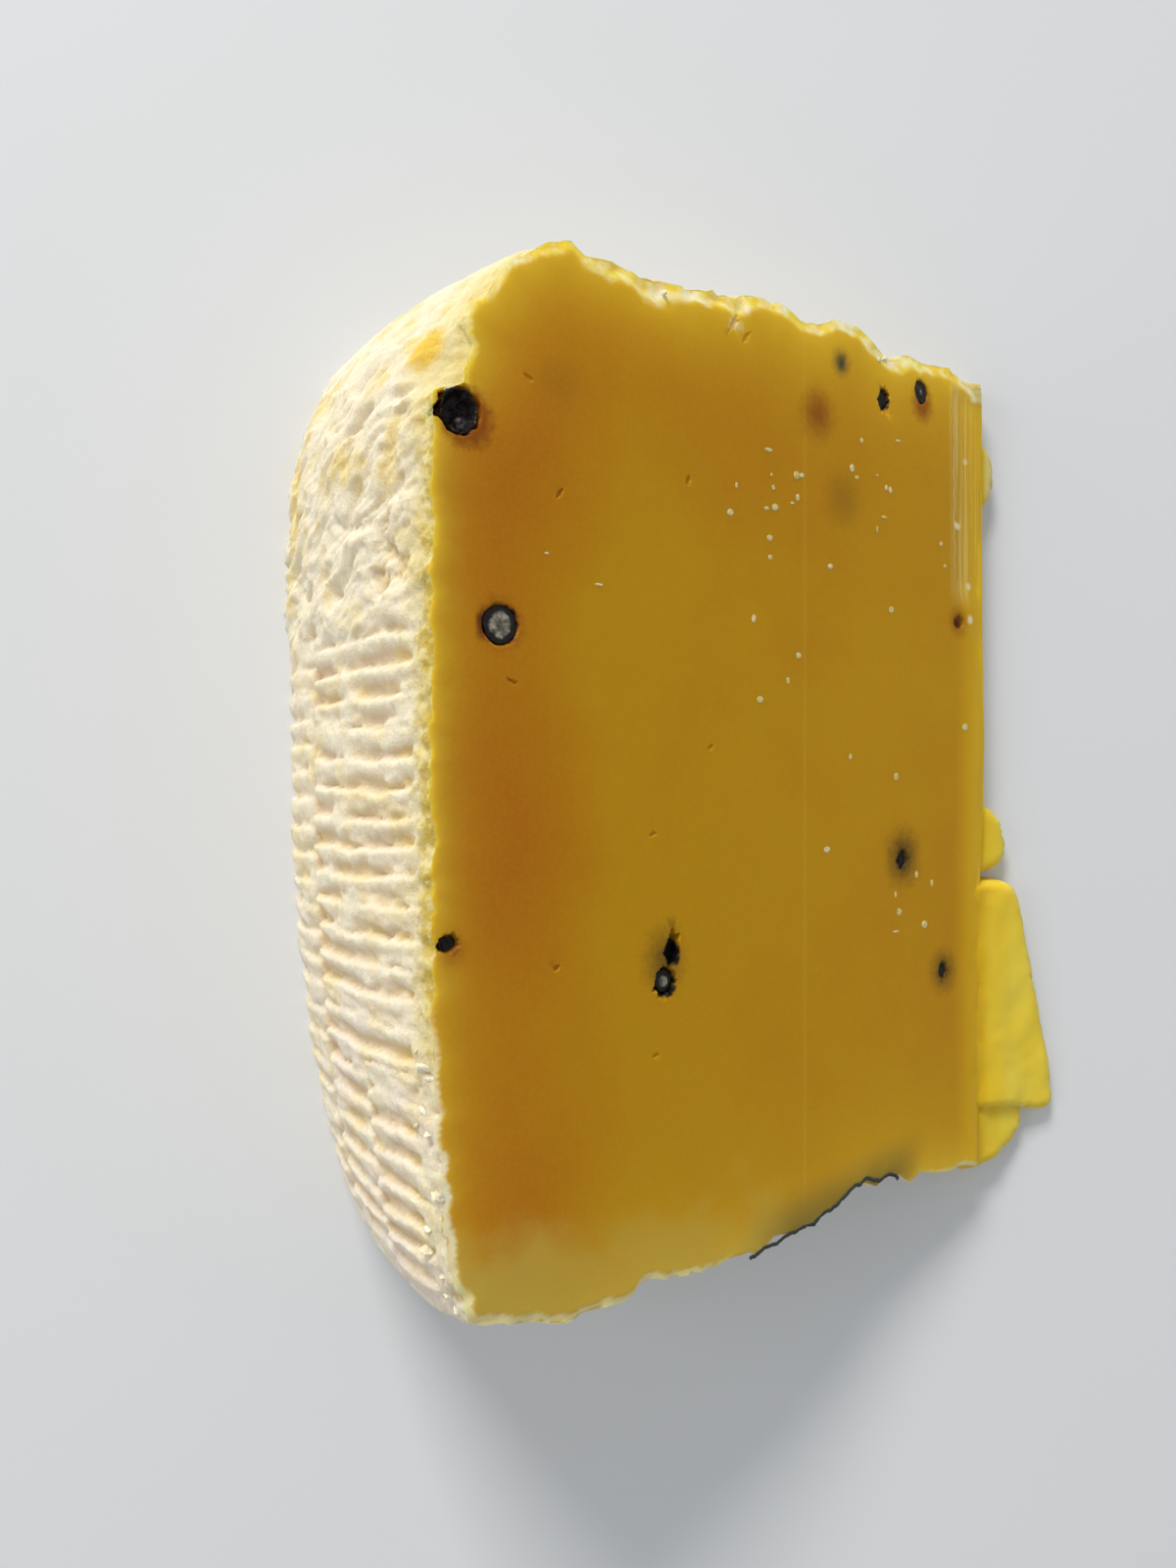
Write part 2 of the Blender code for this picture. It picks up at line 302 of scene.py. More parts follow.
class GeometryGraph(Graph):
    """A Geometry Nodes tree with named inputs."""

    def __init__(self, name: str) -> None:
        """Starts a tree that takes and gives a geometry.

        Args:
            name: The tree's name.
        """
        super().__init__(bpy.data.node_groups.new(name, "GeometryNodeTree"))
        sockets = self.tree.interface
        sockets.new_socket("Geometry", in_out="INPUT", socket_type="NodeSocketGeometry")
        sockets.new_socket("Geometry", in_out="OUTPUT", socket_type="NodeSocketGeometry")
        self.start = self.tree.nodes.new("NodeGroupInput")
        self.geometry = Socket(self, self.start.outputs["Geometry"])
        self.values: dict[str, object] = {}

    def value(self, name: str, value: float) -> Socket:
        """A named number that the modifier sets.

        Args:
            name: The input's name.
            value: Its value.

        Returns:
            The input.
        """
        item = self.tree.interface.new_socket(name, in_out="INPUT", socket_type="NodeSocketFloat")
        self.values[item.identifier] = value
        return Socket(self, self.start.outputs[name])

    def named(self, name: str, kind: str = "FLOAT") -> Socket:
        """An attribute that the mesh carries."""
        return self.add("GeometryNodeInputNamedAttribute", {"Name": name}, "Attribute", data_type=kind)

    def finish(self, geometry: Socket, material: bpy.types.Material) -> None:
        """Ends the tree in real geometry with a material.

        Args:
            geometry: What the tree made.
            material: Its material.
        """
        real = self.add("GeometryNodeRealizeInstances", {"Geometry": geometry})
        dressed = self.add("GeometryNodeSetMaterial", {"Geometry": real, "Material": material})
        end = self.tree.nodes.new("NodeGroupOutput")
        self.tree.links.new(dressed.link, end.inputs["Geometry"])

    def run(self, mesh: bpy.types.Mesh) -> bpy.types.Mesh:
        """Runs the tree on a mesh.

        Args:
            mesh: What goes in, which is used up.

        Returns:
            The plain mesh that comes out.
        """
        carrier = bpy.data.objects.new("carrier", mesh)
        bpy.context.scene.collection.objects.link(carrier)
        modifier = carrier.modifiers.new("nodes", "NODES")
        modifier.node_group = self.tree
        for identifier, value in self.values.items():
            modifier[identifier] = value
        bpy.context.view_layer.update()
        graph = bpy.context.evaluated_depsgraph_get()
        made = bpy.data.meshes.new_from_object(carrier.evaluated_get(graph), depsgraph=graph)
        bpy.data.objects.remove(carrier)
        return made


def smooth(low: float, high: float, value: np.ndarray | float) -> np.ndarray:
    """0 under low, 1 over high, and an even turn between."""
    share = np.clip((value - low) / (high - low), 0.0, 1.0)
    return share * share * (3 - 2 * share)


def mix(first: object, second: object, share: object) -> object:
    """A value that far from the first to the second."""
    return first + (second - first) * share


def lumps(x: np.ndarray, y: np.ndarray, z: np.ndarray | float = 0.0) -> np.ndarray:
    """Even noise from -1 to 1 at many places.

    Args:
        x: First coordinates, in lumps.
        y: Second coordinates.
        z: Third coordinates, or one for all.

    Returns:
        The noise at each place, in the shape of the coordinates.
    """
    x, y, z = np.broadcast_arrays(x, y, z)
    places = zip(x.ravel(), y.ravel(), z.ravel())
    return np.array([noise.noise(Vector(place)) for place in places]).reshape(x.shape)


def set_numbers(mesh: bpy.types.Mesh, name: str, values: np.ndarray) -> None:
    """Stores a number, or a vector, on each of a mesh's points."""
    kind, key = ("FLOAT", "value") if values.ndim == 1 else ("FLOAT_VECTOR", "vector")
    attribute = mesh.attributes.new(name, kind, "POINT")
    attribute.data.foreach_set(key, np.ascontiguousarray(values, np.float32).ravel())


def get_numbers(mesh: bpy.types.Mesh, name: str) -> np.ndarray:
    """Reads a number from each of a mesh's points."""
    values = np.empty(len(mesh.vertices), np.float32)
    mesh.attributes[name].data.foreach_get("value", values)
    return values


def get_points(mesh: bpy.types.Mesh) -> np.ndarray:
    """Reads a mesh's points, in millimetres."""
    points = np.empty(len(mesh.vertices) * 3, np.float32)
    mesh.vertices.foreach_get("co", points)
    return points.reshape(-1, 3).astype(float) / MM


def make_mesh(name: str, points: np.ndarray, faces: Sequence[Sequence[int]]) -> bpy.types.Mesh:
    """A mesh of points in millimetres."""
    mesh = bpy.data.meshes.new(name)
    mesh.from_pydata([tuple(point) for point in points * MM], [], faces)
    mesh.update()
    return mesh


def face_outwards(mesh: bpy.types.Mesh) -> None:
    """Turns every face of a closed mesh outwards."""
    work = bmesh.new()
    work.from_mesh(mesh)
    bmesh.ops.recalc_face_normals(work, faces=work.faces)
    work.to_mesh(mesh)
    work.free()


def add_piece(name: str, mesh: bpy.types.Mesh, replaces: Sequence[str] = ()) -> bpy.types.Object:
    """Makes a finished mesh one of the object's pieces.

    Args:
        name: The piece's name.
        mesh: Its finished mesh, in place.
        replaces: The CAD nodes that it stands for.

    Returns:
        The piece.
    """
    piece = bpy.data.objects.new(name, mesh)
    bpy.context.scene.collection.objects.link(piece)
    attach(piece, "root")
    if replaces:
        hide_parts(*replaces)
    log.info("%s: %d faces", name, len(mesh.polygons))
    return piece


def closest(points: np.ndarray, line: np.ndarray) -> np.ndarray:
    """Distance of each point from a broken line.

    Args:
        points: Flat points, one a row.
        line: The line's points, one a row.

    Returns:
        The distances.
    """
    starts, steps = line[:-1], np.diff(line, axis=0)
    lengths = np.maximum((steps**2).sum(1), 1e-12)
    best = np.full(len(points), np.inf)
    for start, step, length in zip(starts, steps, lengths):
        share = np.clip(((points - start) @ step) / length, 0, 1)
        away = points - start - share[:, None] * step
        best = np.minimum(best, (away**2).sum(1))
    return np.sqrt(best)


def inside(points: np.ndarray, outline: np.ndarray) -> np.ndarray:
    """Says which flat points lie inside a closed outline.

    Args:
        points: Flat points, one a row.
        outline: The outline's points, the first not repeated.

    Returns:
        True for each point inside.
    """
    x, y = points[:, 0], points[:, 1]
    found = np.zeros(len(points), bool)
    for (x0, y0), (x1, y1) in zip(outline, np.roll(outline, -1, axis=0)):
        if y0 == y1:
            continue
        crosses = ((y0 > y) != (y1 > y)) & (x < (x1 - x0) * (y - y0) / (y1 - y0) + x0)
        found ^= crosses
    return found


@dataclass(frozen=True)
class Hollow:
    """A small hollow in the upper cut face, with a torn rim."""

    at: Place
    size: Place
    depth: float
    turn: float = 0.0
    torn: float = 0.15
    steepness: float = 0.30
    seed: float = 0.0
    rings: tuple[float, ...] = (0.3, 0.55, 0.7, 0.8, 0.88, 0.95, 1.02, 1.1, 1.25, 1.5)
    ring_spacing: float = 0.22

    def reach(self, points: np.ndarray) -> np.ndarray:
        """How far out points are, where 1 is the rim.

        Args:
            points: Places on the cut face, one a row.

        Returns:
            The reach of each.
        """
        away = points - np.array(self.at)
        cosine, sine = math.cos(self.turn), math.sin(self.turn)
        across = (away[:, 0] * cosine + away[:, 1] * sine) / (self.size[0] / 2)
        along = (away[:, 1] * cosine - away[:, 0] * sine) / (self.size[1] / 2)
        even = np.hypot(across, along)
        near = even < 2.0
        rough = np.zeros(len(points))
        angle = np.arctan2(along[near], across[near])
        rough[near] = lumps(2.2 * np.cos(angle), 2.2 * np.sin(angle), self.seed)
        return even * (1 + self.torn * rough)

    def drop(self, points: np.ndarray) -> np.ndarray:
        """How far the hollow lowers points on the cut face."""
        return self.depth * (1 - smooth(1 - self.steepness, 1.0, self.reach(points)))

    def places(self) -> np.ndarray:
        """Places where the cut face needs points to hold the hollow's shape."""
        found = [self.at]
        wide = max(self.size)
        for share in self.rings:
            count = max(8, round(math.pi * wide * share / self.ring_spacing))
            for turn in np.arange(count) / count * 2 * math.pi + share:
                across = self.size[0] / 2 * share * math.cos(turn)
                along = self.size[1] / 2 * share * math.sin(turn)
                cosine, sine = math.cos(self.turn), math.sin(self.turn)
                found.append((
                    self.at[0] + across * cosine - along * sine,
                    self.at[1] + across * sine + along * cosine,
                ))
        return np.array(found)


@dataclass(frozen=True)
class WedgeShape:
    """The wheel's outline and the wedge that was cut from it, as the CAD model has them."""

    foot_radius: float = 108.1
    arris_radius: float = 100.1
    angle: float = math.radians(22.7)
    cut_length: float = 86.5
    apex: Place = (53.77, -0.57)
    smooth_top: tuple[Place, ...] = ((0, 59.8), (18, 60.6), (50, 59.8), (90, 57.0))
    smooth_bottom: tuple[Place, ...] = ((0, -58.8), (40, -58.2), (65, -53.6), (90, -53.4))
    broken_top: tuple[Place, ...] = (
        (0, 59.8), (15, 59.9), (17.5, 60.2), (20, 59.5), (24.7, 59.7), (27.5, 59.3), (33, 59.0),
        (39.5, 59.6), (45, 60.2), (48.6, 60.6), (50.6, 59.9), (52.2, 59.0), (55.5, 59.3), (60.5, 60.1),
        (63.5, 59.6), (66, 58.2), (68.4, 57.3), (70.3, 57.9), (72.1, 58.4), (75, 58.1), (79, 58.0),
        (83.1, 57.4), (84.9, 56.3), (87, 53.0),
    )
    broken_bottom: tuple[Place, ...] = (
        (0, -57.6), (8, -58.0), (12, -58.7), (19, -59.4), (25, -59.3), (28, -58.1), (41, -58.5), (49, -56.5),
        (54, -56.2), (62.5, -52.3), (65, -53.2), (68, -52.5), (70.5, -53.9), (87, -54.2),
    )
    broken_from: float = 0.78
    foot_top: tuple[float, float, float] = (34.0, 16.0, 1.9)
    foot_bottom: tuple[float, float, float] = (-2.0, 11.5, 1.72)
    arris_top: tuple[float, float, float] = (40.0, 15.5, 1.4)
    arris_bottom: tuple[float, float, float] = (-6.0, 8.0, 3.2)
    chip_heights: tuple[float, float, float] = (40.6, 42.4, 52.0)
    chip_depth: float = 3.2
    chip_from: float = 0.84

    def point(self, radius: np.ndarray, height: np.ndarray, share: np.ndarray) -> np.ndarray:
        """Places in the row's frame.

        Args:
            radius: Distance from the apex.
            height: Height along the wheel's axis.
            share: Share of the turn from the lower cut to the upper one.

        Returns:
            Points, with the coordinates last.
        """
        turn = self.angle * share
        x = self.apex[0] - radius * np.cos(turn)
        return np.stack(np.broadcast_arrays(x, self.apex[1] + height, radius * np.sin(turn)), -1)

    def face_axes(self) -> tuple[np.ndarray, np.ndarray, np.ndarray, np.ndarray]:
        """The upper cut face: its start, then its directions along the cut, up the axis and outwards."""
        start = self.point(self.arris_radius, 0.0, 1.0)
        along = np.array([math.cos(self.angle), 0, -math.sin(self.angle)])
        out = np.array([math.sin(self.angle), 0, math.cos(self.angle)])
        return start, along, np.array([0.0, 1.0, 0.0]), out

    def on_face(self, place: Place, above: float = 0.0) -> np.ndarray:
        """The point at a place on the upper cut face, or over it."""
        start, along, up, out = self.face_axes()
        return start + along * place[0] + up * place[1] + out * above

    def heel_radius(self, share: np.ndarray) -> np.ndarray:
        """Radius of the even heel."""
        return mix(self.foot_radius, self.arris_radius, share)

    def flats(self, distance: np.ndarray, share: np.ndarray) -> tuple[np.ndarray, np.ndarray]:
        """Heights of the wheel's lower and upper flat face.

        Args:
            distance: How far it is from the heel.
            share: Share of the turn.

        Returns:
            The two heights.
        """
        broken = smooth(self.broken_from, 1.0, share)
        found = []
        for even, torn in ((self.smooth_bottom, self.broken_bottom), (self.smooth_top, self.broken_top)):
            start = np.interp(distance, *zip(*even))
            found.append(mix(start, np.interp(distance, *zip(*torn)), broken))
        return found[0], found[1]

    @staticmethod
    def rounding(height: np.ndarray, end: np.ndarray, corner: tuple[float, float, float]) -> np.ndarray:
        """How far a rounded corner sets the heel back.

        Args:
            height: Height along the axis.
            end: Where the heel ends.
            corner: Start height, reach along the cut, and squareness.

        Returns:
            The setback.
        """
        start, reach, squareness = corner
        share = np.clip((height - start) / (end - start), 0.0, 1.0)
        return reach * (1 - (1 - share**squareness) ** (1 / squareness))

    def setback(self, height: np.ndarray, share: np.ndarray) -> np.ndarray:
        """How far the rounded ends and the broken corner set the heel back."""
        low, high = self.flats(np.zeros_like(share), share)
        foot = self.rounding(height, high, self.foot_top) + self.rounding(height, low, self.foot_bottom)
        arris = self.rounding(height, high, self.arris_top) + self.rounding(height, low, self.arris_bottom)
        start, middle, end = self.chip_heights
        chip = self.chip_depth * smooth(start, middle, height) * (1 - smooth(middle, end, height))
        return mix(foot, arris, share) + chip * smooth(self.chip_from, 1.0, share)

    def tip_radius(self, share: np.ndarray) -> np.ndarray:
        """Radius of the torn end of the tip, which stands upright."""
        return (self.arris_radius - self.cut_length) * math.cos(self.angle) / np.cos(self.angle * share)


@dataclass
class Shell:
    """The wheel's outside over the wedge: one ring of points for each share of the turn."""

    shape: WedgeShape
    rings: int = 125
    ribs: int = 334
    corner: int = 24
    flat: int = 74
    tip: int = 26
    rib_span: float = 52.0
    crowding: float = 0.45
    share: np.ndarray = field(init=False)
    radius: np.ndarray = field(init=False)
    height: np.ndarray = field(init=False)
    heel: np.ndarray = field(init=False)
    torn: np.ndarray = field(init=False)

    def __post_init__(self) -> None:
        """Works out every ring, even and without relief."""
        even = np.linspace(0, 1, self.rings)
        self.share = (even + self.crowding * even * (1 - even))[:, None]
        low, high = self.shape.flats(np.zeros_like(self.share), self.share)
        turns = np.sin(0.5 * math.pi * np.arange(1, self.corner + 1) / self.corner)
        heights = np.concatenate([
            mix(-self.rib_span, low, turns[::-1]),
            np.broadcast_to(np.linspace(-self.rib_span, self.rib_span, self.ribs), (self.rings, self.ribs)),
            mix(self.rib_span, high, turns),
        ], axis=1)
        radii = self.shape.heel_radius(self.share) - self.shape.setback(heights, self.share)
        inner = self.shape.tip_radius(self.share)
        inner_low, inner_high = self.shape.flats(self.shape.cut_length, self.share)
        places = np.linspace(0, 1, self.flat + 1)[1:-1]
        top = mix(radii[:, -1:], inner, places)
        bottom = mix(inner, radii[:, :1], places)
        down = np.linspace(0, 1, self.tip)
        upright = np.broadcast_to(inner, (self.rings, self.tip))
        self.radius = np.concatenate([radii, top, upright, bottom], axis=1)
        self.height = np.concatenate([
            heights,
            self.shape.flats(self.shape.heel_radius(self.share) - top, self.share)[1],
            mix(inner_high, inner_low, down),
            self.shape.flats(self.shape.heel_radius(self.share) - bottom, self.share)[0],
        ], axis=1)
        counts = (heights.shape[1], len(places), self.tip, len(places))
        self.heel = np.repeat((1.0, 0.0, 0.0, 0.0), counts)
        self.torn = np.repeat((0.0, 0.0, 1.0, 0.0), counts)

    @property
    def across(self) -> int:
        """How many points a ring has."""
        return self.radius.shape[1]

    def outward(self) -> np.ndarray:
        """The direction out of the surface at each point, in the plane of its ring."""
        ring = (self.radius, self.height)
        ahead = [np.roll(values, -1, axis=1) - np.roll(values, 1, axis=1) for values in ring]
        length = np.maximum(np.hypot(*ahead), 1e-9)
        out, up = ahead[1] / length, -ahead[0] / length
        turn = self.shape.angle * self.share
        return np.stack([-out * np.cos(turn), up, out * np.sin(turn)], -1)

    def mesh(self) -> bpy.types.Mesh:
        """The open shell, with what its relief needs on each point.

        Returns:
            The mesh.
        """
        points = self.shape.point(self.radius, self.height, self.share).reshape(-1, 3)
        mesh = make_mesh("shell", points, self.faces())
        arc = self.share * self.shape.angle * self.shape.arris_radius
        set_numbers(mesh, "outward", self.outward().reshape(-1, 3))
        set_numbers(mesh, "arc", np.broadcast_to(arc, self.radius.shape).ravel())
        set_numbers(mesh, "height", self.height.ravel())
        set_numbers(mesh, "radius", self.radius.ravel())
        set_numbers(mesh, "heel", np.broadcast_to(self.heel, self.radius.shape).ravel())
        set_numbers(mesh, "torn", np.broadcast_to(self.torn, self.radius.shape).ravel())
        return mesh

    def faces(self) -> list[tuple[int, int, int, int]]:
        """Four-sided faces between one ring and the next."""
        count = self.across
        ring = np.arange(count)
        after = (ring + 1) % count
        found = []
        for number in range(self.rings - 1):
            here, there = number * count, (number + 1) * count
            found += zip(here + ring, here + after, there + after, there + ring)
        return [tuple(int(corner) for corner in face) for face in found]


@dataclass(frozen=True)
class BasketRelief:
    """The relief that the basket, age and wear gave the rind, made by a Geometry Nodes tree."""

    rib_pitch: float = 3.25
    rib_depth: float = 0.84
    rib_wander: float = 0.9
    seam_arc: float = 11.6
    seam_depth: float = 0.50
    rough_from: float = 13.0
    rough_depth: float = 1.15
    crumble_depth: float = 1.1
    crumbly_arc: Place = (34.2, 37.4)
    holes_height: Place = (-14.0, -26.0)
    folds_height: Place = (25.0, 34.0)
    corner_height: Place = (57.5, 51.0)
    stepped_corner: Place = (25.0, -31.0)
    ring_pitch: float = 7.0
    ring_depth: float = 0.45
    torn_depth: float = 1.0
    seed: float = 4.0

    def carve(self, mesh: bpy.types.Mesh, rind: bpy.types.Material) -> bpy.types.Mesh:
        """Gives the even shell its relief.

        Args:
            mesh: The even shell.
            rind: The rind's material.

        Returns:
            The shell with its relief, and with "groove" on its points, 1 where it is deepest.
        """
        graph = GeometryGraph("basket relief")
        arc, height = graph.named("arc"), graph.named("height")
        heel, torn = graph.named("heel"), graph.named("torn")
        seed = graph.value("Seed", self.seed)
        deep, groove = self.heel_relief(graph, arc, height, seed)
        rings, ring_groove = self.flat_relief(graph, graph.named("radius"), height, arc, seed)
        place = graph.combine(height, arc, seed)
        ragged = (graph.noise(place, 0.22, 4.0, 0.6) - 0.5) * graph.value("Torn Depth", self.torn_depth)
        bulge = graph.math("EXPONENT", ((height - 6.0) / 11.0) ** 2 * -1.0) * 0.45
        ragged = ragged * 0.7 + height.smooth(-24.0, -2.0) * 0.80 - 0.25 + bulge
        relief = deep * heel + rings * (1 - heel) * (1 - torn) + ragged * torn
        offset = graph.vector_math("SCALE", graph.named("outward", "FLOAT_VECTOR"))
        graph.tree.links.new((relief * MM).link, graph.find(offset.link.node.inputs, "Scale"))
        carved = graph.add("GeometryNodeSetPosition", {"Geometry": graph.geometry, "Offset": offset})
        depth = groove * heel + ring_groove * (1 - heel)
        marked = graph.add(
            "GeometryNodeStoreNamedAttribute", {"Geometry": carved, "Name": "groove", "Value": depth},
            data_type="FLOAT", domain="POINT",
        )
        graph.finish(marked, rind)
        return graph.run(mesh)

    def heel_relief(
        self, graph: GeometryGraph, arc: Socket, height: Socket, seed: Socket
    ) -> tuple[Socket, Socket]:
        """Ribs below, torn rind above, and a crumbly band beside the cut.

        Args:
            graph: The tree.
            arc: Distance up from the foot, round the heel.
            height: Height along the wheel's axis.
            seed: A number that changes the noise.

        Returns:
            The relief, and how deep in a groove the point lies, from 0 to 1.
        """
        place = graph.combine(arc, height, seed)
        end = abs(height).smooth(*self.corner_height)
        ribs, groove = self.ribs(graph, arc, height, seed)
        rough, pit = self.rough(graph, arc, height, seed)
        crumbs, hole = self.crumbs(graph, arc, height, seed)
        unsure = (graph.noise(place, 0.09, 2.0) - 0.5) * 14
        upper = (height + unsure).smooth(self.rough_from, self.rough_from + 7)
        band = (arc + (graph.noise(place, 0.30, 3.0, 0.6) - 0.5) * 9.0).smooth(*self.crumbly_arc)
        from_seam = arc - graph.value("Seam Arc", self.seam_arc) + (graph.noise(place, 0.12, 2.0) - 0.5) * 1.6
        seam = graph.math("EXPONENT", (from_seam / 0.8) ** 2 * -1.0) * end * (1 - 0.6 * upper)
        body = ribs * (0.25 + 0.75 * end) * (1 - upper) + rough * upper * (0.5 + 0.5 * end)
        fibres = (graph.noise(graph.combine(arc * 2.6, height * 0.8, seed), 1.1, 3.0, 0.6) - 0.5) * 0.32
        relief = body * (1 - band) + crumbs * band - seam * self.seam_depth + fibres
        depth = (groove * (1 - upper) * end + pit * upper) * (1 - band) + hole * band + seam * 0.6
        return relief, depth

    def ribs(self, graph: GeometryGraph, arc: Socket, height: Socket, seed: Socket) -> tuple[Socket, Socket]:
        """Ribs laid like shingles, highest at their frayed upper edges, stepped at the seam and low down."""
        wander = (graph.noise(graph.combine(arc, height, seed), 0.055, 2.0) - 0.5) * 2.4
        fray = graph.noise(graph.combine(arc * 1.7, height * 0.45, seed + 2.0), 0.85, 3.0, 0.65)
        fray = (fray - 0.5) * 1.15
        wave = (graph.noise(graph.combine(arc * 0.5, height * 0.2, seed + 7.0), 0.5, 2.0) - 0.5) * 1.0
        left = graph.math("LESS_THAN", arc, self.seam_arc) * 0.5
        beyond, below = self.stepped_corner
        right = graph.math("GREATER_THAN", arc, beyond) * graph.math("LESS_THAN", height, below) * 0.42
        shift = wander * graph.value("Rib Wander", self.rib_wander) + fray + wave
        turn = (height + shift) / graph.value("Rib Pitch", self.rib_pitch) + left + right
        phase = graph.math("FRACT", turn)
        shingle = phase.smooth(0.0, 0.74) * phase.smooth(1.0, 0.80)
        patch = graph.noise(graph.combine(arc * 0.8, height * 1.7, seed + 9.0), 0.15, 2.0)
        strength = (0.12 + 1.2 * patch.smooth(0.32, 0.60)) * (1 - left * 0.8)
        cushion = (graph.noise(graph.combine(arc, height, seed), 0.32, 4.0, 0.6) - 0.5) * 0.95
        groove = (1 - shingle) * strength
        return cushion - (groove - 0.25) * graph.value("Rib Depth", self.rib_depth), groove

    def rough(self, graph: GeometryGraph, arc: Socket, height: Socket, seed: Socket) -> tuple[Socket, Socket]:
        """Torn rind: folds that rise towards the cut at the top, and lumps with pits between them below."""
        warp = (graph.noise(graph.combine(arc, height, seed + 4.0), 0.11, 2.0) - 0.5) * 7.0
        folds = graph.noise(graph.combine((height - 0.50 * arc + warp) / 2.9, arc / 8.0, seed), 0.8, 4.0, 0.5)
        leaning = (height - 0.2 * arc + warp) / 2.9
        lump = graph.noise(graph.combine(arc / 3.6, leaning, seed + 3.0), 0.62, 5.0, 0.55)
        broad = graph.noise(graph.combine(arc, height, seed + 6.0), 0.13, 2.0)
        top = height.smooth(*self.folds_height)
        ridge = 1 - abs(folds * 2 - 1) * 2.6
        pit = lump.smooth(0.46, 0.30) * (1 - 0.6 * top) + ridge.smooth(0.45, 0.0) * 0.5 * top
        relief = (ridge - 0.5) * (0.40 + 0.35 * top) + (lump - 0.5) * (3.0 - 1.8 * top) - pit * 0.55
        return (relief + (broad - 0.4) * 1.6) * graph.value("Rough Depth", self.rough_depth), pit

    def crumbs(
        self, graph: GeometryGraph, arc: Socket, height: Socket, seed: Socket
    ) -> tuple[Socket, Socket]:
        """The crumbly band beside the cut: grains with holes between them."""
        grain = graph.noise(graph.combine(arc * 0.9, height, seed + 5.0), 0.40, 3.0, 0.5)
        holey = height.smooth(*self.holes_height)
        hole = grain.smooth(0.42, 0.28) * holey
        depth = graph.value("Crumble Depth", self.crumble_depth) * (0.75 - 0.10 * holey)
        return ((grain - 0.5) * 2.6 - hole * 0.5 - 0.10) * depth, hole

    def flat_relief(
        self, graph: GeometryGraph, radius: Socket, height: Socket, arc: Socket, seed: Socket
    ) -> tuple[Socket, Socket]:
        """The shallow rings and lumps of the wheel's flat faces, which are crumbly beside the cut.

        Args:
            graph: The tree.
            radius: Distance from the apex.
            height: Height along the wheel's axis.
            arc: Distance up from the table, at the heel.
            seed: A number that changes the noise.

        Returns:
            The relief, and how deep in a groove the point lies, from 0 to 1.
        """
        place = graph.combine(radius, arc * radius / 100.0, seed + height * 0.01)
        warp = (graph.noise(place, 0.1, 2.0) - 0.5) * 3.0
        wave = 0.5 + 0.5 * graph.math("COSINE", (radius + warp) * (2 * math.pi / self.ring_pitch))
        depth = graph.value("Ring Depth", self.ring_depth)
        near_cut = arc.smooth(28.0, 37.5)
        crags = (graph.noise(place, 0.5, 4.0, 0.6) - 0.5) * (1.0 + 0.9 * near_cut)
        bites = (graph.noise(place, 0.17, 2.0) - 0.58) * 2.6 * near_cut
        return wave * depth - depth * 0.5 + crags + bites - 0.1, (1 - wave) * 0.5


@dataclass(frozen=True)
class WornRim:
    """The broken rim of the upper cut, as (distance from the heel, width, depth) along the flat faces."""

    top: tuple[tuple[float, float, float], ...] = (
        (0.0, 0.5, 0.15), (12.0, 0.8, 0.25), (18.0, 1.9, 0.60), (27.0, 2.6, 0.90), (33.0, 2.1, 0.70),
        (44.0, 1.9, 0.60), (50.0, 1.4, 0.45), (60.0, 1.5, 0.45), (74.0, 1.7, 0.45), (87.0, 1.4, 0.35),
    )
    bottom: tuple[tuple[float, float, float], ...] = (
        (0.0, 1.0, 0.40), (20.0, 1.1, 0.45), (32.0, 0.8, 0.30), (42.0, 0.4, 0.10), (72.0, 0.4, 0.10),
        (87.0, 0.7, 0.25),
    )
    heel: tuple[tuple[float, float, float], ...] = (
        (-56.0, 0.9, 0.28), (-27.0, 0.55, 0.16), (-20.0, 0.2, 0.05), (38.0, 0.2, 0.05), (44.0, 0.5, 0.12),
    )
    beside_heel: Place = (4.0, 52.0)
    tip: tuple[float, float] = (85.2, 86.6)
    tip_depth: float = 0.5
    widest: float = 3.6

    def wear(self, flat: np.ndarray, rim: np.ndarray) -> tuple[np.ndarray, np.ndarray]:
        """How far the rim is worn down.

        Args:
            flat: Places on the cut face, one a row.
            rim: Their distances from the rind.

        Returns:
            The drop at each place, and how crumbly it is, from 0 to 1.
        """
        beside = (flat[:, 0] < self.beside_heel[0]) & (np.abs(flat[:, 1]) < self.beside_heel[1])
        top, bottom, heel = (np.array(rows).T for rows in (self.top, self.bottom, self.heel))
        sizes = []
        for number in (1, 2):
            high = np.interp(flat[:, 0], top[0], top[number])
            low = np.interp(flat[:, 0], bottom[0], bottom[number])
            ends = np.where(flat[:, 1] > 0, high, low)
            sizes.append(np.where(beside, np.interp(flat[:, 1], heel[0], heel[number]), ends))
        drop, crumbly = np.zeros(len(flat)), np.zeros(len(flat))
        near = rim < self.widest
        rough = lumps(flat[near, 0] / 2.1, flat[near, 1] / 2.1, 5.0)
        coarse = lumps(flat[near, 0] / 4.4, flat[near, 1] / 3.6, 8.0)
        reach = rim[near] / sizes[0][near] + 0.55 * coarse + 0.25 * rough
        worn = 1 - smooth(0.15, 1.05, reach)
        drop[near] = sizes[1][near] * worn * (0.8 + 0.7 * rough)
        crumbly[near] = (1 - smooth(0.70, 1.05, reach)) * smooth(0.25, 0.75, sizes[0][near])
        tip = self.tip_depth * smooth(*self.tip, flat[:, 0])
        return np.maximum(drop, tip), crumbly


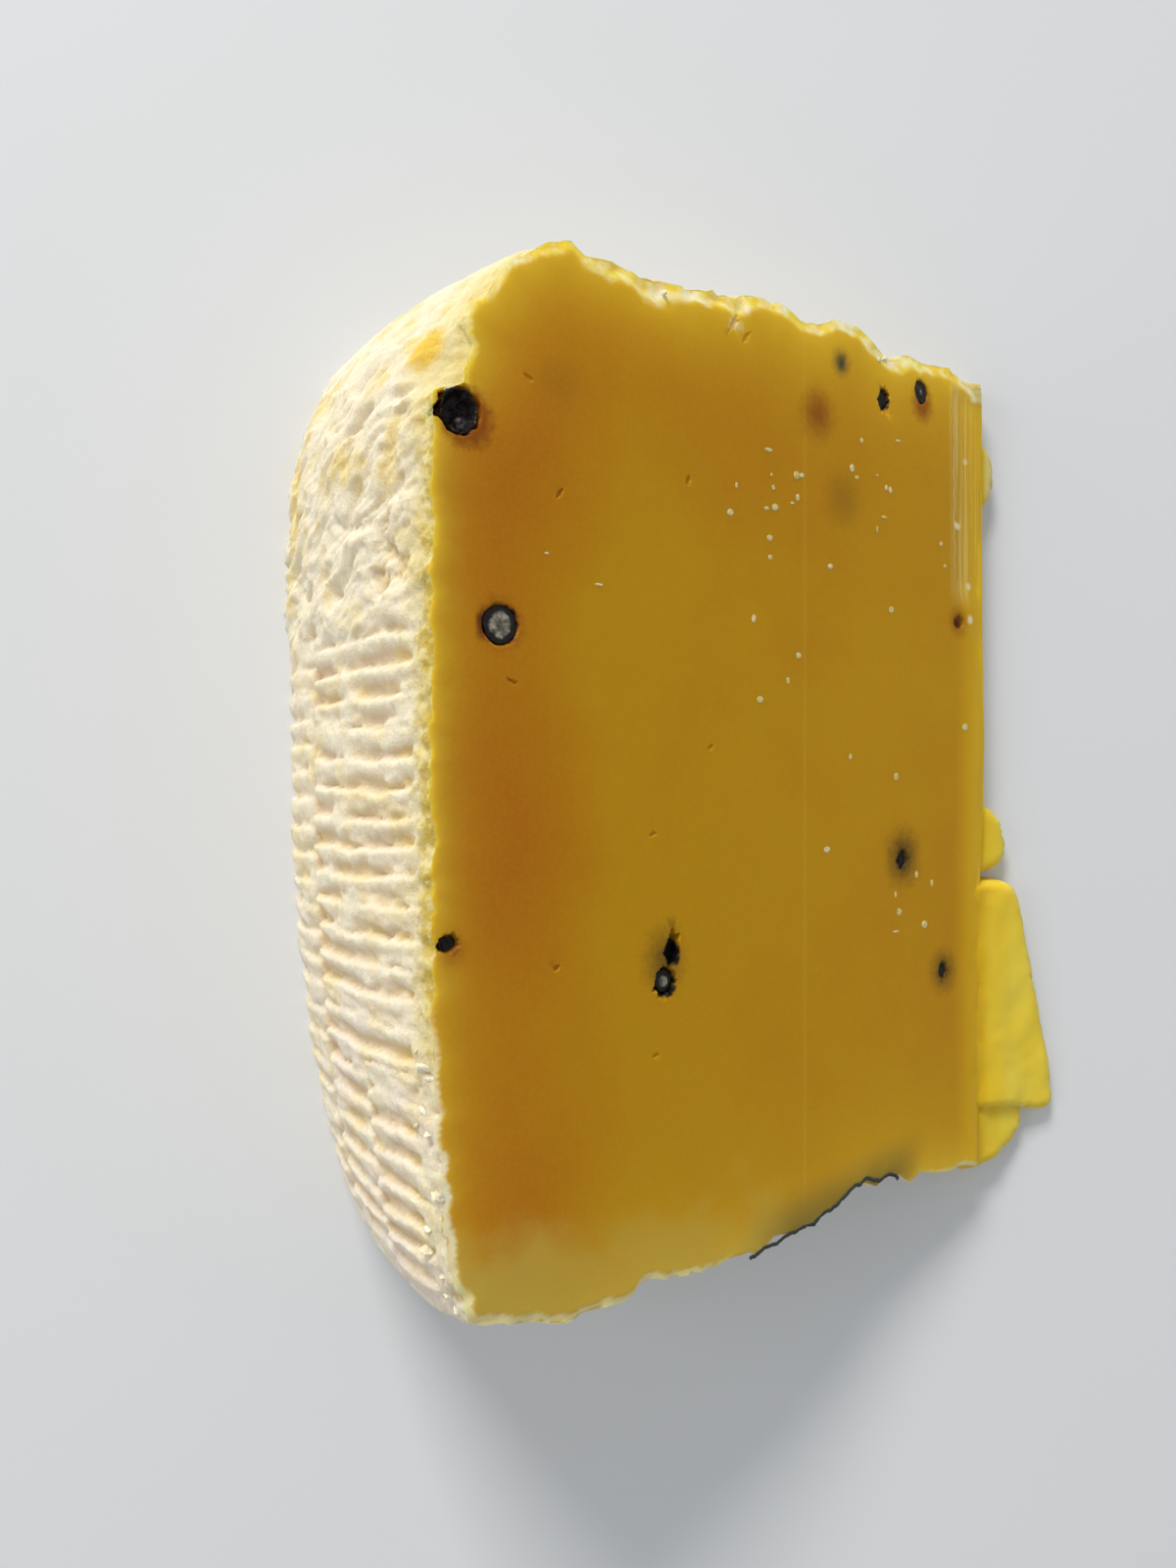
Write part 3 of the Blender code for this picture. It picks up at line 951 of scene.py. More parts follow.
@dataclass
class CutFace:
    """A flat cut through the wedge, as a net of triangles that holds small hollows."""

    outline: np.ndarray
    hollows: Sequence[Hollow] = ()
    spacing: float = 1.7
    rim: np.ndarray | None = None
    rim_width: float = 2.8
    rim_spacing: float = 0.42
    seed: int = 11

    def places(self) -> np.ndarray:
        """Places of the points inside the outline.

        Returns:
            Flat places, one a row.
        """
        closed = np.vstack([self.outline, self.outline[:1]])
        grid = self.grid(self.spacing)
        if self.rim is not None:
            fine = self.grid(self.rim_spacing)
            fine = fine[closest(fine, self.rim) < self.rim_width]
            grid = np.vstack([grid[closest(grid, self.rim) > self.rim_width + 0.4], fine])
        keep = inside(grid, self.outline) & (closest(grid, closed) > (0.75 if self.rim is None else 0.24))
        for hollow in self.hollows:
            keep &= hollow.reach(grid) > 1.45
        found = [grid[keep]]
        if self.rim is None:
            found.append(self.inset(0.4))
        for hollow in self.hollows:
            near = hollow.places()
            wanted = inside(near, self.outline) & (closest(near, closed) > 0.16)
            found.append(near[wanted])
        return np.vstack(found)

    def grid(self, spacing: float) -> np.ndarray:
        """A shaken grid of triangles over the outline's box, with its points that far apart."""
        low, high = self.outline.min(0), self.outline.max(0)
        step = np.array([spacing, spacing * math.sqrt(3) / 2])
        columns, rows = np.ceil((high - low) / step).astype(int) + 1
        across, up = np.meshgrid(np.arange(columns), np.arange(rows))
        found = low + np.stack([(across + 0.5 * (up % 2)) * step[0], up * step[1]], -1).reshape(-1, 2)
        return found + np.random.default_rng(self.seed).uniform(-0.12, 0.12, found.shape) * spacing

    def inset(self, distance: float) -> np.ndarray:
        """Every second point of the outline, moved inwards.

        Args:
            distance: How far.

        Returns:
            The points that lie well inside.
        """
        ahead = np.roll(self.outline, -2, axis=0) - np.roll(self.outline, 2, axis=0)
        inward = np.stack([-ahead[:, 1], ahead[:, 0]], -1)
        inward /= np.maximum(np.linalg.norm(inward, axis=1, keepdims=True), 1e-9)
        area = (self.outline[:, 0] * np.roll(self.outline[:, 1], -1)).sum()
        area -= (self.outline[:, 1] * np.roll(self.outline[:, 0], -1)).sum()
        moved = (self.outline + inward * distance * math.copysign(1, area))[::2]
        closed = np.vstack([self.outline, self.outline[:1]])
        return moved[inside(moved, self.outline) & (closest(moved, closed) > 0.7 * distance)]

    def net(self) -> tuple[np.ndarray, Triangles]:
        """The triangles.

        Returns:
            The flat points, the outline's first and in order, and the triangles, which turn anticlockwise.
        """
        count = len(self.outline)
        flat = np.vstack([self.outline, self.places()])
        made = delaunay_2d_cdt([Vector(place) for place in flat], [], [list(range(count))], 1, 1e-6)
        points, _, triangles, sources, _, _ = made
        extra = []
        names = []
        for point, source in zip(points, sources):
            if source:
                names.append(min(source))
            else:
                names.append(len(flat) + len(extra))
                extra.append(tuple(point))
        if extra:
            flat = np.vstack([flat, np.array(extra)])
        return flat, [tuple(names[corner] for corner in triangle) for triangle in triangles]


class Stain(Enum):
    """Colours that peppercorns leave in the paste."""

    BLACK = (0.006, 0.0045, 0.004)
    GREEN = (0.050, 0.038, 0.009)
    BLUE = (0.035, 0.050, 0.035)
    BROWN = (0.27, 0.064, 0.004)
    RED = (0.085, 0.012, 0.003)
    PALE = (0.90, 0.82, 0.52)


@dataclass(frozen=True)
class Mark:
    """A soft spot of colour in the upper cut face."""

    at: Place
    size: Place
    stain: Stain
    strength: float
    core: float = 0.0
    ragged: float = 0.25


def peppercorn_marks() -> tuple[Mark, ...]:
    """What the peppercorns colour, from the broadest stains to the darkest spots."""
    return (
        Mark((3.4, 39.0), (9.5, 9.5), Stain.BROWN, 0.55),
        Mark((8.1, 17.0), (7.4, 7.6), Stain.BROWN, 0.60, 0.35),
        Mark((2.2, -17.2), (6.0, 5.4), Stain.BROWN, 0.55),
        Mark((30.0, -20.6), (8.6, 11.4), Stain.GREEN, 0.68),
        Mark((54.6, 47.2), (8.4, 9.8), Stain.BROWN, 0.80),
        Mark((59.1, 36.9), (9.5, 11.0), Stain.GREEN, 0.30),
        Mark((15.5, 44.2), (9.0, 8.0), Stain.GREEN, 0.13),
        Mark((58.7, 54.6), (4.6, 5.4), Stain.BLUE, 0.70),
        Mark((74.2, 52.0), (5.6, 7.2), Stain.BROWN, 0.85, 0.2),
        Mark((81.5, 22.6), (5.4, 6.0), Stain.BROWN, 0.80),
        Mark((70.3, -9.8), (9.0, 11.0), Stain.GREEN, 0.88),
        Mark((78.4, -25.8), (7.6, 8.6), Stain.GREEN, 0.75),
        Mark((4.0, 38.3), (8.0, 8.0), Stain.BROWN, 0.80, 0.5),
        Mark((5.9, 16.9), (2.2, 4.6), Stain.RED, 0.75, 0.3),
        Mark((81.7, 36.2), (2.4, 1.5), Stain.PALE, 0.85, 0.2, 0.5),
        Mark((83.5, 45.4), (1.6, 1.3), Stain.PALE, 0.65, 0.2, 0.5),
        Mark((84.2, 27.9), (1.5, 1.6), Stain.PALE, 0.70, 0.2, 0.5),
        Mark((84.1, 23.2), (1.7, 1.9), Stain.PALE, 0.80, 0.2, 0.3),
        Mark((40.9, 56.0), (3.4, 2.6), Stain.PALE, 0.45, 0.0, 1.2),
        Mark((42.9, 57.9), (1.4, 1.6), Stain.PALE, 0.50, 0.0, 0.8),
        Mark((2.0, -16.7), (3.6, 2.8), Stain.RED, 0.95, 0.2),
        Mark((81.8, 22.4), (2.6, 2.6), Stain.RED, 0.90, 0.1),
        Mark((58.8, 54.5), (2.2, 3.2), Stain.BLUE, 0.80),
        Mark((70.2, -10.2), (3.0, 4.2), Stain.BLACK, 0.97, 0.25),
        Mark((78.4, -25.8), (2.9, 3.6), Stain.BLACK, 0.90, 0.10),
        Mark((3.0, 39.3), (5.3, 5.5), Stain.BLACK, 1.0, 0.75),
        Mark((8.2, 17.0), (4.8, 4.9), Stain.BLACK, 1.0, 0.80),
        Mark((30.3, -23.2), (3.4, 4.0), Stain.BLACK, 1.0, 0.75),
        Mark((31.2, -19.6), (2.8, 4.4), Stain.BLACK, 1.0, 0.70),
        Mark((66.7, 51.2), (2.5, 3.6), Stain.BLACK, 1.0, 0.70),
        Mark((74.0, 53.5), (2.8, 3.8), Stain.BLACK, 1.0, 0.65),
    )


@dataclass(frozen=True)
class Spot:
    """Where a shaded point lies on the wedge, in millimetres."""

    point: Socket
    x: Socket
    distance: Socket
    height: Socket
    over: Socket

    @classmethod
    def of(cls, graph: ShaderGraph, shape: WedgeShape) -> "Spot":
        """Works out where the shaded point lies.

        Args:
            graph: The material.
            shape: The wedge, which gives the upper cut face.

        Returns:
            The point, its X, its distance from the heel along the upper cut, its height along the wheel's
            axis, and how far it stands over the upper cut.
        """
        point = graph.place()
        start, along, _, out = shape.face_axes()
        away = graph.vector_math("SUBTRACT", point, tuple(start))
        x, y, _ = graph.split(point)
        return cls(point, x, graph.dot(away, along), y - shape.apex[1], graph.dot(away, out))


@dataclass(frozen=True)
class PasteFinish:
    """The cut paste: moist, amber inside and paler towards the rind, with a painted glow beside the rind and
    at the thin torn tip.
    """

    shape: WedgeShape
    amber: Colour = (0.485, 0.162, 0.0022)
    olive: Colour = (0.555, 0.286, 0.0036)
    grain: Colour = (0.62, 0.40, 0.03)
    # Painted glow: the colour of light shining through the paste beside the rind.
    painted_glow: Colour = (0.92, 0.57, 0.022)
    rim: Colour = (0.82, 0.60, 0.050)
    haze: Colour = (0.60, 0.43, 0.075)
    shaved: Colour = (0.84, 0.66, 0.22)
    knife_line: Colour = (0.84, 0.62, 0.10)
    # Painted glow: the colour that brightens the thin torn tip, as light through it would.
    tip: Colour = (0.80, 0.485, 0.007)
    thin: Colour = (0.84, 0.65, 0.075)
    banded: Colour = (0.84, 0.62, 0.050)
    root: Colour = (0.80, 0.52, 0.014)
    upper_flake: Colour = (0.72, 0.66, 0.36)
    # Painted glow: the paler colour of the flakes' thin edges, as light through them would.
    painted_thin_edge_glow: Colour = (0.95, 0.87, 0.50)
    crumbs: tuple[Colour, Colour, Colour] = ((0.89, 0.68, 0.075), (0.91, 0.79, 0.32), (0.94, 0.89, 0.62))
    heel_crumb: Colour = (0.93, 0.86, 0.62)
    low_crumb: Colour = (0.88, 0.78, 0.42)
    murky: Colour = (0.15, 0.11, 0.03)
    roughness: float = 0.40
    knife_line_at: float = 52.3
    mirror_length: float = 84.0
    skin_line: tuple[Place, float] = ((44.0, -57.4), 0.19)

    def build(self) -> bpy.types.Material:
        """Makes the material.

        Returns:
            The material.
        """
        graph = ShaderGraph("paste", {
            "Subsurface Weight": 0.55,
            "Subsurface Radius": (1.0, 0.52, 0.12),
            "Subsurface Scale": 2.4 * MM,
            "Subsurface Anisotropy": 0.3,
            "Specular IOR Level": 0.12,
        })
        spot = Spot.of(graph, self.shape)
        upper = spot.over.smooth(-4.2, -3.4)
        colour = self.marked(graph, self.body_colour(graph, spot), spot, upper)
        graph.feed(
            Base_Color=colour,
            Roughness=self.roughness - 0.10 + 0.24 * graph.noise(spot.point, 0.6, 4.0),
            Normal=self.bumps(graph, spot, upper),
        )
        return graph.material

    def body_colour(self, graph: ShaderGraph, spot: Spot) -> Socket:
        """The paste's colour with its painted glow, from the inside out to the rind, the torn tip and the
        crumbly edges.

        Args:
            graph: The material.
            spot: Where the point lies.

        Returns:
            The colour.
        """
        cloud = graph.noise(spot.point, 0.035, 3.0, 0.55)
        base = self.inside(graph, spot, cloud)
        base = self.beside_rind(graph, base, spot, cloud)
        base = self.knife_marks(graph, base, spot)
        base = self.torn_tip(graph, base, spot, cloud)
        return self.crumbly(graph, base, spot)

    def inside(self, graph: ShaderGraph, spot: Spot, cloud: Socket) -> Socket:
        """Olive paste, amber towards the heel and in clouds, with a fine grain."""
        warm = spot.distance.smooth(27.0, 6.0) * 0.9 + (cloud - 0.5) * 1.4
        warm = warm + spot.height.smooth(20.0, 55.0) * 0.25
        base = graph.blend(warm, self.olive, self.amber)
        fine = graph.noise(spot.point, 2.2, 3.0, 0.6)
        return graph.blend((fine - 0.5) * 0.4 + 0.06, base, self.grain)

    def beside_rind(self, graph: ShaderGraph, base: Socket, spot: Spot, cloud: Socket) -> Socket:
        """Painted glow beside the rind, strongest at the top; the paler edge; the haze over the low corner at
        the heel.
        """
        point, distance, height = spot.point, spot.distance, spot.height
        soft = graph.attribute("rim") + (graph.noise(point, 0.25, 3.0) - 0.5) * 1.6
        # Painted glow: light that shines into the paste through the rind, strongest towards the top edge,
        # painted into the colour.
        painted_glow = graph.math("EXPONENT", graph.math("MAXIMUM", soft, 0.0) / -6.0)
        painted_glow_strength = 0.14 + 0.74 * height.smooth(30.0, 57.0) + 0.20 * height.smooth(-8.0, -36.0)
        base = graph.blend(painted_glow * painted_glow_strength, base, self.painted_glow)
        pale = graph.math("EXPONENT", graph.math("MAXIMUM", soft, 0.0) / -1.7)
        base = graph.blend(pale * (0.60 + 0.30 * height.smooth(-35.0, 10.0)), base, self.rim)
        haze = graph.noise(point, 0.14, 4.0, 0.6)
        low = height + (cloud - 0.5) * 20 + (haze - 0.5) * 16 - distance.smooth(24.0, 4.0) * 7.0
        low = low.smooth(-47.0, -58.0) * distance.smooth(60.0, 44.0)
        return graph.blend(low * (0.55 + 0.25 * distance.smooth(24.0, 4.0)), base, self.haze)

    def knife_marks(self, graph: ShaderGraph, base: Socket, spot: Spot) -> Socket:
        """The streaks of the shaved strip beside the tip, and one line that the knife left."""
        distance, height = spot.distance, spot.height
        streaks = graph.noise(graph.combine(distance * 2.6, height * 0.05, 8.0), 0.5, 3.0, 0.6)
        shaved = distance.smooth(79.6, 80.4) * height.smooth(24.0, 28.0) * height.smooth(58.0, 55.0)
        base = graph.blend(shaved * (0.12 + streaks.smooth(0.46, 0.62) * 0.5), base, self.shaved)
        line = abs(distance - self.knife_line_at).smooth(0.45, 0.1)
        return graph.blend(line * 0.08, base, self.knife_line)

    def torn_tip(self, graph: ShaderGraph, base: Socket, spot: Spot, cloud: Socket) -> Socket:
        """The torn tip, brightened by painted glow of light through the thin paste, and its flakes, with
        their thin edges paled by the same painted glow.
        """
        x, height = spot.x, spot.height
        # Painted glow: the paste brightens towards the thin torn end.
        tip = (x + (cloud - 0.5) * 4).smooth(35.8, 41.6)
        base = graph.blend(tip * 0.85, base, self.tip)
        banded = graph.noise(graph.combine(x * 0.5, height * 0.10, 3.0), 0.6, 2.0)
        flake = graph.blend(banded.smooth(0.35, 0.65), self.thin, self.banded)
        flake = graph.blend(x.smooth(47.0, 42.0) * 0.6, flake, self.root)
        base = graph.blend(x.smooth(41.2, 43.0), base, flake)
        base = graph.blend(x.smooth(42.4, 43.4) * height.smooth(28.0, 40.0) * 0.55, base, self.upper_flake)
        # Painted glow: the flakes' thin edges are paled.
        return graph.blend(graph.attribute("thin") * 0.85, base, self.painted_thin_edge_glow)

    def crumbly(self, graph: ShaderGraph, base: Socket, spot: Spot) -> Socket:
        """The crumbly edges of the cut, paler beside the heel."""
        bits = graph.noise(spot.point, 0.42, 3.0, 0.55)
        crumb = graph.blend(bits.smooth(0.40, 0.54), self.crumbs[0], self.crumbs[1])
        crumb = graph.blend(bits.smooth(0.54, 0.66), crumb, self.crumbs[2])
        beside_heel = spot.distance.smooth(5.0, 2.5) * spot.height.smooth(-12.0, -24.0)
        crumb = graph.blend(beside_heel, crumb, self.heel_crumb)
        crumb = graph.blend(spot.height.smooth(-44.0, -52.0) * 0.8, crumb, self.low_crumb)
        return graph.blend(graph.attribute("crumbly") * 0.9, base, crumb)

    def marked(self, graph: ShaderGraph, colour: Socket, spot: Spot, upper: Socket) -> Socket:
        """Adds the peppercorns' stains. The lower cut face gets the same ones turned half round.

        Args:
            graph: The material.
            colour: The colour so far.
            spot: Where the point lies.
            upper: 1 on the upper cut face and 0 on the lower one.

        Returns:
            The colour with the stains.
        """
        distance, height = spot.distance, spot.height
        across = distance * upper + (self.mirror_length - distance) * (1 - upper)
        along = height * (upper * 2 - 1)
        ragged = (graph.noise(spot.point, 1.1, 4.0, 0.6) - 0.5) * 2
        for mark in peppercorn_marks():
            offset = graph.combine(
                (across - mark.at[0]) * (2 / mark.size[0]), (along - mark.at[1]) * (2 / mark.size[1])
            )
            reach = graph.vector_math("LENGTH", offset, output=1) + ragged * mark.ragged
            share = reach.smooth(1.0, mark.core) * mark.strength
            colour = graph.blend(share, colour, mark.stain.value)
        start, slope = self.skin_line
        from_skin = abs(height - start[1] - (distance - start[0]) * slope)
        murky = from_skin.smooth(6.5, 0.0) * distance.smooth(40.0, 52.0) * distance.smooth(76.0, 68.0) * upper
        return graph.blend(murky * 0.72, colour, self.murky)

    def bumps(self, graph: ShaderGraph, spot: Spot, upper: Socket) -> Socket:
        """Fine grain and the knife's lines.

        Args:
            graph: The material.
            spot: Where the point lies.
            upper: 1 on the upper cut face.

        Returns:
            The normal.
        """
        distance, height = spot.distance, spot.height
        grain = graph.noise(spot.point, 1.6, 4.0, 0.6)
        lines = graph.noise(graph.combine(distance * 3.2, height * 0.035, 4.0), 1.0, 3.0, 0.6)
        near_tip = distance.smooth(79.0, 80.6) * height.smooth(22.0, 27.0)
        single = abs(distance - self.knife_line_at).smooth(0.5, 0.0)
        strength = (0.06 + near_tip * 0.7 + single * 0.12) * upper
        return graph.bump(grain * 0.20 + lines * strength, 0.22)


@dataclass(frozen=True)
class RindFinish:
    """The rind: cream, tan in its grooves, partly painted shade, yellow where it is thin."""

    shape: WedgeShape
    cream: Colour = (0.85, 0.745, 0.53)
    white: Colour = (0.88, 0.84, 0.73)
    # Tan of the grooves, pits and holes: partly the rind's own colour, partly painted shade in the recesses.
    tan: Colour = (0.75, 0.575, 0.36)
    pink: Colour = (0.83, 0.70, 0.57)
    yellow: Colour = (0.81, 0.63, 0.24)
    straw: Colour = (0.78, 0.66, 0.32)
    edge: Colour = (0.58, 0.41, 0.045)
    edge_bits: Colour = (0.76, 0.63, 0.26)
    chip: Colour = (0.82, 0.69, 0.30)
    pocket: Colour = (0.78, 0.50, 0.020)
    deep: Colour = (0.72, 0.50, 0.13)
    pocket_at: Place = (46.5, -4.6)
    roughness: float = 0.72

    def build(self) -> bpy.types.Material:
        """Makes the material.

        Returns:
            The material.
        """
        graph = ShaderGraph("rind", {
            "Subsurface Weight": 0.65,
            "Subsurface Radius": (1.0, 0.72, 0.42),
            "Subsurface Scale": 1.4 * MM,
            "Specular IOR Level": 0.35,
        })
        spot = Spot.of(graph, self.shape)
        x, y, z = graph.split(spot.point)
        streaks = graph.noise(graph.combine(x * 2.0, y * 0.6, z * 2.0), 1.6, 4.0, 0.65)
        base = self.body_colour(graph, spot, streaks)
        base = self.beside_cut(graph, base, spot, streaks)
        fibres = graph.noise(graph.combine(x * 2.4, y * 0.55, z * 2.4), 1.5, 4.0, 0.7)
        fuzz = graph.noise(spot.point, 2.6, 3.0, 0.7)
        graph.feed(
            Base_Color=base,
            Roughness=self.roughness - 0.14 + 0.28 * fuzz,
            Normal=graph.bump(fibres * 0.6 + fuzz * 0.4, 0.55, 0.8),
        )
        return graph.material

    def body_colour(self, graph: ShaderGraph, spot: Spot, streaks: Socket) -> Socket:
        """Cream, white in streaks, tan in the grooves, partly the rind's own and partly painted shade, and
        yellow in patches.
        """
        point, height = spot.point, spot.height
        groove = graph.attribute("groove")
        cloud = graph.noise(point, 0.09, 3.0)
        base = graph.blend(cloud.smooth(0.35, 0.65) * height.smooth(-10.0, -40.0), self.cream, self.pink)
        base = graph.blend(streaks.smooth(0.42, 0.72) * 0.6, base, self.white)
        # Partly painted shade: the recesses that the groove mask marks turn tan, besides the rind's own tan.
        base = graph.blend(groove.smooth(0.18, 0.95) * 0.85, base, self.tan)
        patch = graph.noise(point, 0.16, 3.0, 0.6)
        upper = height.smooth(5.0, 50.0) * 0.5 + height.smooth(-50.0, -20.0) * 0.1
        yellow = patch.smooth(0.46, 0.66) * (0.35 + upper) * (1 - 0.6 * height.smooth(56.0, 59.0))
        return graph.blend(yellow, base, self.yellow)

    def beside_cut(self, graph: ShaderGraph, base: Socket, spot: Spot, streaks: Socket) -> Socket:
        """Adds what is yellower beside the upper cut: a soft band, its crumbly edge, a chip and a pocket."""
        point, height, over = spot.point, spot.height, spot.over
        ragged = (graph.noise(point, 0.45, 3.0, 0.6) - 0.5) * 5.0
        firm = height.smooth(-36.0, -22.0)
        base = graph.blend((over + ragged).smooth(-6.0, -1.0) * (0.15 + 0.45 * firm), base, self.straw)
        bits = graph.noise(point, 0.55, 3.0, 0.6).smooth(0.42, 0.62)
        edge = graph.blend(bits, self.edge, self.edge_bits)
        base = graph.blend((over + ragged * 0.8).smooth(-3.8, -0.4) * firm * 0.95, base, edge)
        chip = height.smooth(39.0, 43.0) * over.smooth(-8.5, -5.0)
        base = graph.blend(chip * (0.25 + 0.45 * streaks), base, self.chip)
        middle, level = self.pocket_at
        pocket = ((height - middle) / 2.6) ** 2 + ((over - level) / 1.7) ** 2
        base = graph.blend((pocket + ragged * 0.3).smooth(1.4, 0.2) * 0.85, base, self.pocket)
        groove = graph.attribute("groove").smooth(0.4, 1.0)
        return graph.blend(groove * over.smooth(-9.0, -5.0) * 0.5, base, self.deep)


@dataclass
class Cheese:
    """The wedge itself: shell, cut faces, hollows and torn flakes in one closed mesh."""

    shape: WedgeShape
    relief: BasketRelief = field(default_factory=BasketRelief)
    rim: WornRim = field(default_factory=WornRim)
    shaved: tuple[float, float, float, float] = (80.8, 26.0, 53.0, 0.35)
    hollows: tuple[Hollow, ...] = (
        Hollow((3.1, 39.2), (5.5, 5.7), 2.6, torn=0.28, steepness=0.22, seed=1.0),
        Hollow((8.1, 17.0), (4.7, 4.8), 0.55, torn=0.05, steepness=0.18, seed=2.0),
        Hollow((1.9, -16.6), (2.9, 2.2), 0.8, turn=0.3, torn=0.3, seed=3.0),
        Hollow((30.1, -23.0), (3.2, 3.9), 1.1, turn=-0.2, torn=0.5, steepness=0.2, seed=4.0),
        Hollow((31.2, -19.4), (2.2, 3.8), 1.3, turn=-0.25, torn=0.45, steepness=0.2, seed=5.5),
        Hollow((66.7, 51.2), (2.1, 3.3), 0.8, turn=-0.25, torn=0.5, steepness=0.2, seed=6.0),
        Hollow((74.0, 53.5), (2.6, 3.6), 0.5, turn=0.25, torn=0.12, steepness=0.2, seed=7.0),
        Hollow((81.7, 22.6), (2.4, 2.2), 0.4, torn=0.4, seed=8.0),
        Hollow((70.2, -10.2), (1.9, 3.0), 0.5, turn=-0.2, torn=0.4, seed=9.0),
        Hollow((78.4, -25.8), (1.8, 2.6), 0.35, torn=0.35, seed=10.0),
        Hollow((33.6, 35.9), (1.3, 0.7), 0.18, turn=1.35, torn=0.4, seed=12.0),
        Hollow((37.0, 4.4), (1.1, 0.6), 0.14, turn=0.6, torn=0.4, seed=13.0),
        Hollow((28.4, -5.8), (1.1, 0.6), 0.14, turn=0.3, torn=0.4, seed=14.0),
        Hollow((28.8, -31.5), (1.2, 0.6), 0.15, turn=0.2, torn=0.4, seed=15.0),
        Hollow((11.6, 44.0), (1.5, 0.6), 0.13, turn=-0.5, torn=0.4, seed=16.0),
        Hollow((40.8, 56.2), (2.6, 0.9), 0.16, turn=1.05, torn=0.7, seed=17.0),
        Hollow((42.6, 54.6), (1.9, 0.7), 0.14, turn=0.9, torn=0.7, seed=18.0),
        Hollow((15.6, 32.0), (1.6, 0.5), 0.2, turn=0.9, torn=0.5, seed=19.0),
        Hollow((9.6, 11.0), (1.5, 0.5), 0.2, turn=-0.4, torn=0.5, seed=20.0),
        Hollow((15.2, -20.2), (1.0, 0.7), 0.25, turn=0.4, torn=0.4, seed=21.0),
    )

    def build(self, rind: bpy.types.Material, paste: bpy.types.Material) -> bpy.types.Object:
        """Makes the wedge.

        Args:
            rind: The rind's material.
            paste: The paste's material.

        Returns:
            The piece.
        """
        shell = Shell(self.shape)
        carved = self.relief.carve(shell.mesh(), rind)
        points = get_points(carved)
        last = len(points) - shell.across
        upper, upper_faces, upper_rim, crumbly = self.upper_cut(points[last:])
        lower, lower_faces, lower_rim = self.lower_cut(points[: shell.across])
        points = self.wear_down(points)
        points[last:] = self.raised(upper[: shell.across], upper_rim[: shell.across])
        inner_count = len(upper) - shell.across
        names = np.concatenate([last + np.arange(shell.across), len(points) + np.arange(inner_count)])
        faces = shell.faces() + [tuple(names[list(face)].tolist()) for face in upper_faces]
        after = names[-1] + 1
        names = np.concatenate([np.arange(shell.across), after + np.arange(len(lower) - shell.across)])
        faces += [tuple(names[list(face[::-1])].tolist()) for face in lower_faces]
        inner = self.raised(upper[shell.across :], upper_rim[shell.across :])
        mesh = make_mesh("cheese_wedge", np.vstack([points, inner, self.lying(lower[shell.across :])]), faces)
        mesh.materials.append(rind)
        mesh.materials.append(paste)
        slots = self.shell_slots(shell) + [1] * (len(upper_faces) + len(lower_faces))
        mesh.polygons.foreach_set("material_index", slots)
        empty = np.zeros(len(upper) + len(lower) - 2 * shell.across)
        rims = [self.shell_rims(shell), upper_rim[shell.across :], lower_rim[shell.across :]]
        set_numbers(mesh, "rim", np.concatenate(rims))
        set_numbers(mesh, "groove", np.concatenate([get_numbers(carved, "groove"), empty]))
        loose = np.zeros(len(mesh.vertices))
        loose[last : last + shell.across] = crumbly[: shell.across]
        loose[len(points) : len(points) + inner_count] = crumbly[shell.across :]
        set_numbers(mesh, "crumbly", loose)
        set_numbers(mesh, "thin", np.zeros(len(mesh.vertices)))
        face_outwards(mesh)
        mesh = TipFlakes(self.shape).join(mesh)
        mesh.shade_smooth()
        mesh.set_sharp_from_angle(angle=math.radians(60))
        return add_piece("cheese_wedge", mesh, ["cheese"])

    def shell_rims(self, shell: Shell) -> np.ndarray:
        """Distance of each shell point from the rind, which is over 0 at the torn tip alone."""
        rims = np.zeros_like(shell.radius)
        tip = np.flatnonzero(shell.torn)
        heights = shell.height[:, tip]
        high, low = heights.max(1, keepdims=True), heights.min(1, keepdims=True)
        rims[:, tip] = np.minimum(high - heights, heights - low)
        return rims.ravel()

    @staticmethod
    def shell_slots(shell: Shell) -> list[int]:
        """The material of each shell face: paste at the torn tip and rind elsewhere."""
        one = ((shell.torn > 0) & (np.roll(shell.torn, -1) > 0)).astype(int)
        return [int(slot) for slot in np.tile(one, shell.rings - 1)]

    def rind_line(self, outline: np.ndarray) -> np.ndarray:
        """The part of a cut's outline that is rind, from the tip round the heel and back."""
        kept = outline[outline[:, 0] < self.shape.cut_length - 1.0]
        split = int(np.argmax(np.abs(np.diff(kept[:, 1])))) + 1
        return np.vstack([kept[split:], kept[:split]])

    def upper_cut(self, ring: np.ndarray) -> tuple[np.ndarray, Triangles, np.ndarray, np.ndarray]:
        """Closes the upper cut.

        Args:
            ring: The shell's points at the cut.

        Returns:
            Flat places, the ring's first, their triangles, their distances from the rind, and how crumbly
            they are.
        """
        start, along, _, _ = self.shape.face_axes()
        outline = np.stack([(ring - start) @ along, ring[:, 1] - self.shape.apex[1]], -1)
        line = self.rind_line(outline)
        flat, triangles = CutFace(outline, self.hollows, rim=line).net()
        rim = closest(flat, line)
        return flat, triangles, rim, self.rim.wear(flat, rim)[1]

    def lower_cut(self, ring: np.ndarray) -> tuple[np.ndarray, Triangles, np.ndarray]:
        """Closes the lower cut, as upper_cut does the upper one, but whole."""
        start = self.shape.point(self.shape.arris_radius, 0.0, 0.0)
        outline = np.stack([ring[:, 0] - start[0], ring[:, 1] - self.shape.apex[1]], -1)
        flat, triangles = CutFace(outline).net()
        return flat, triangles, closest(flat, self.rind_line(outline))

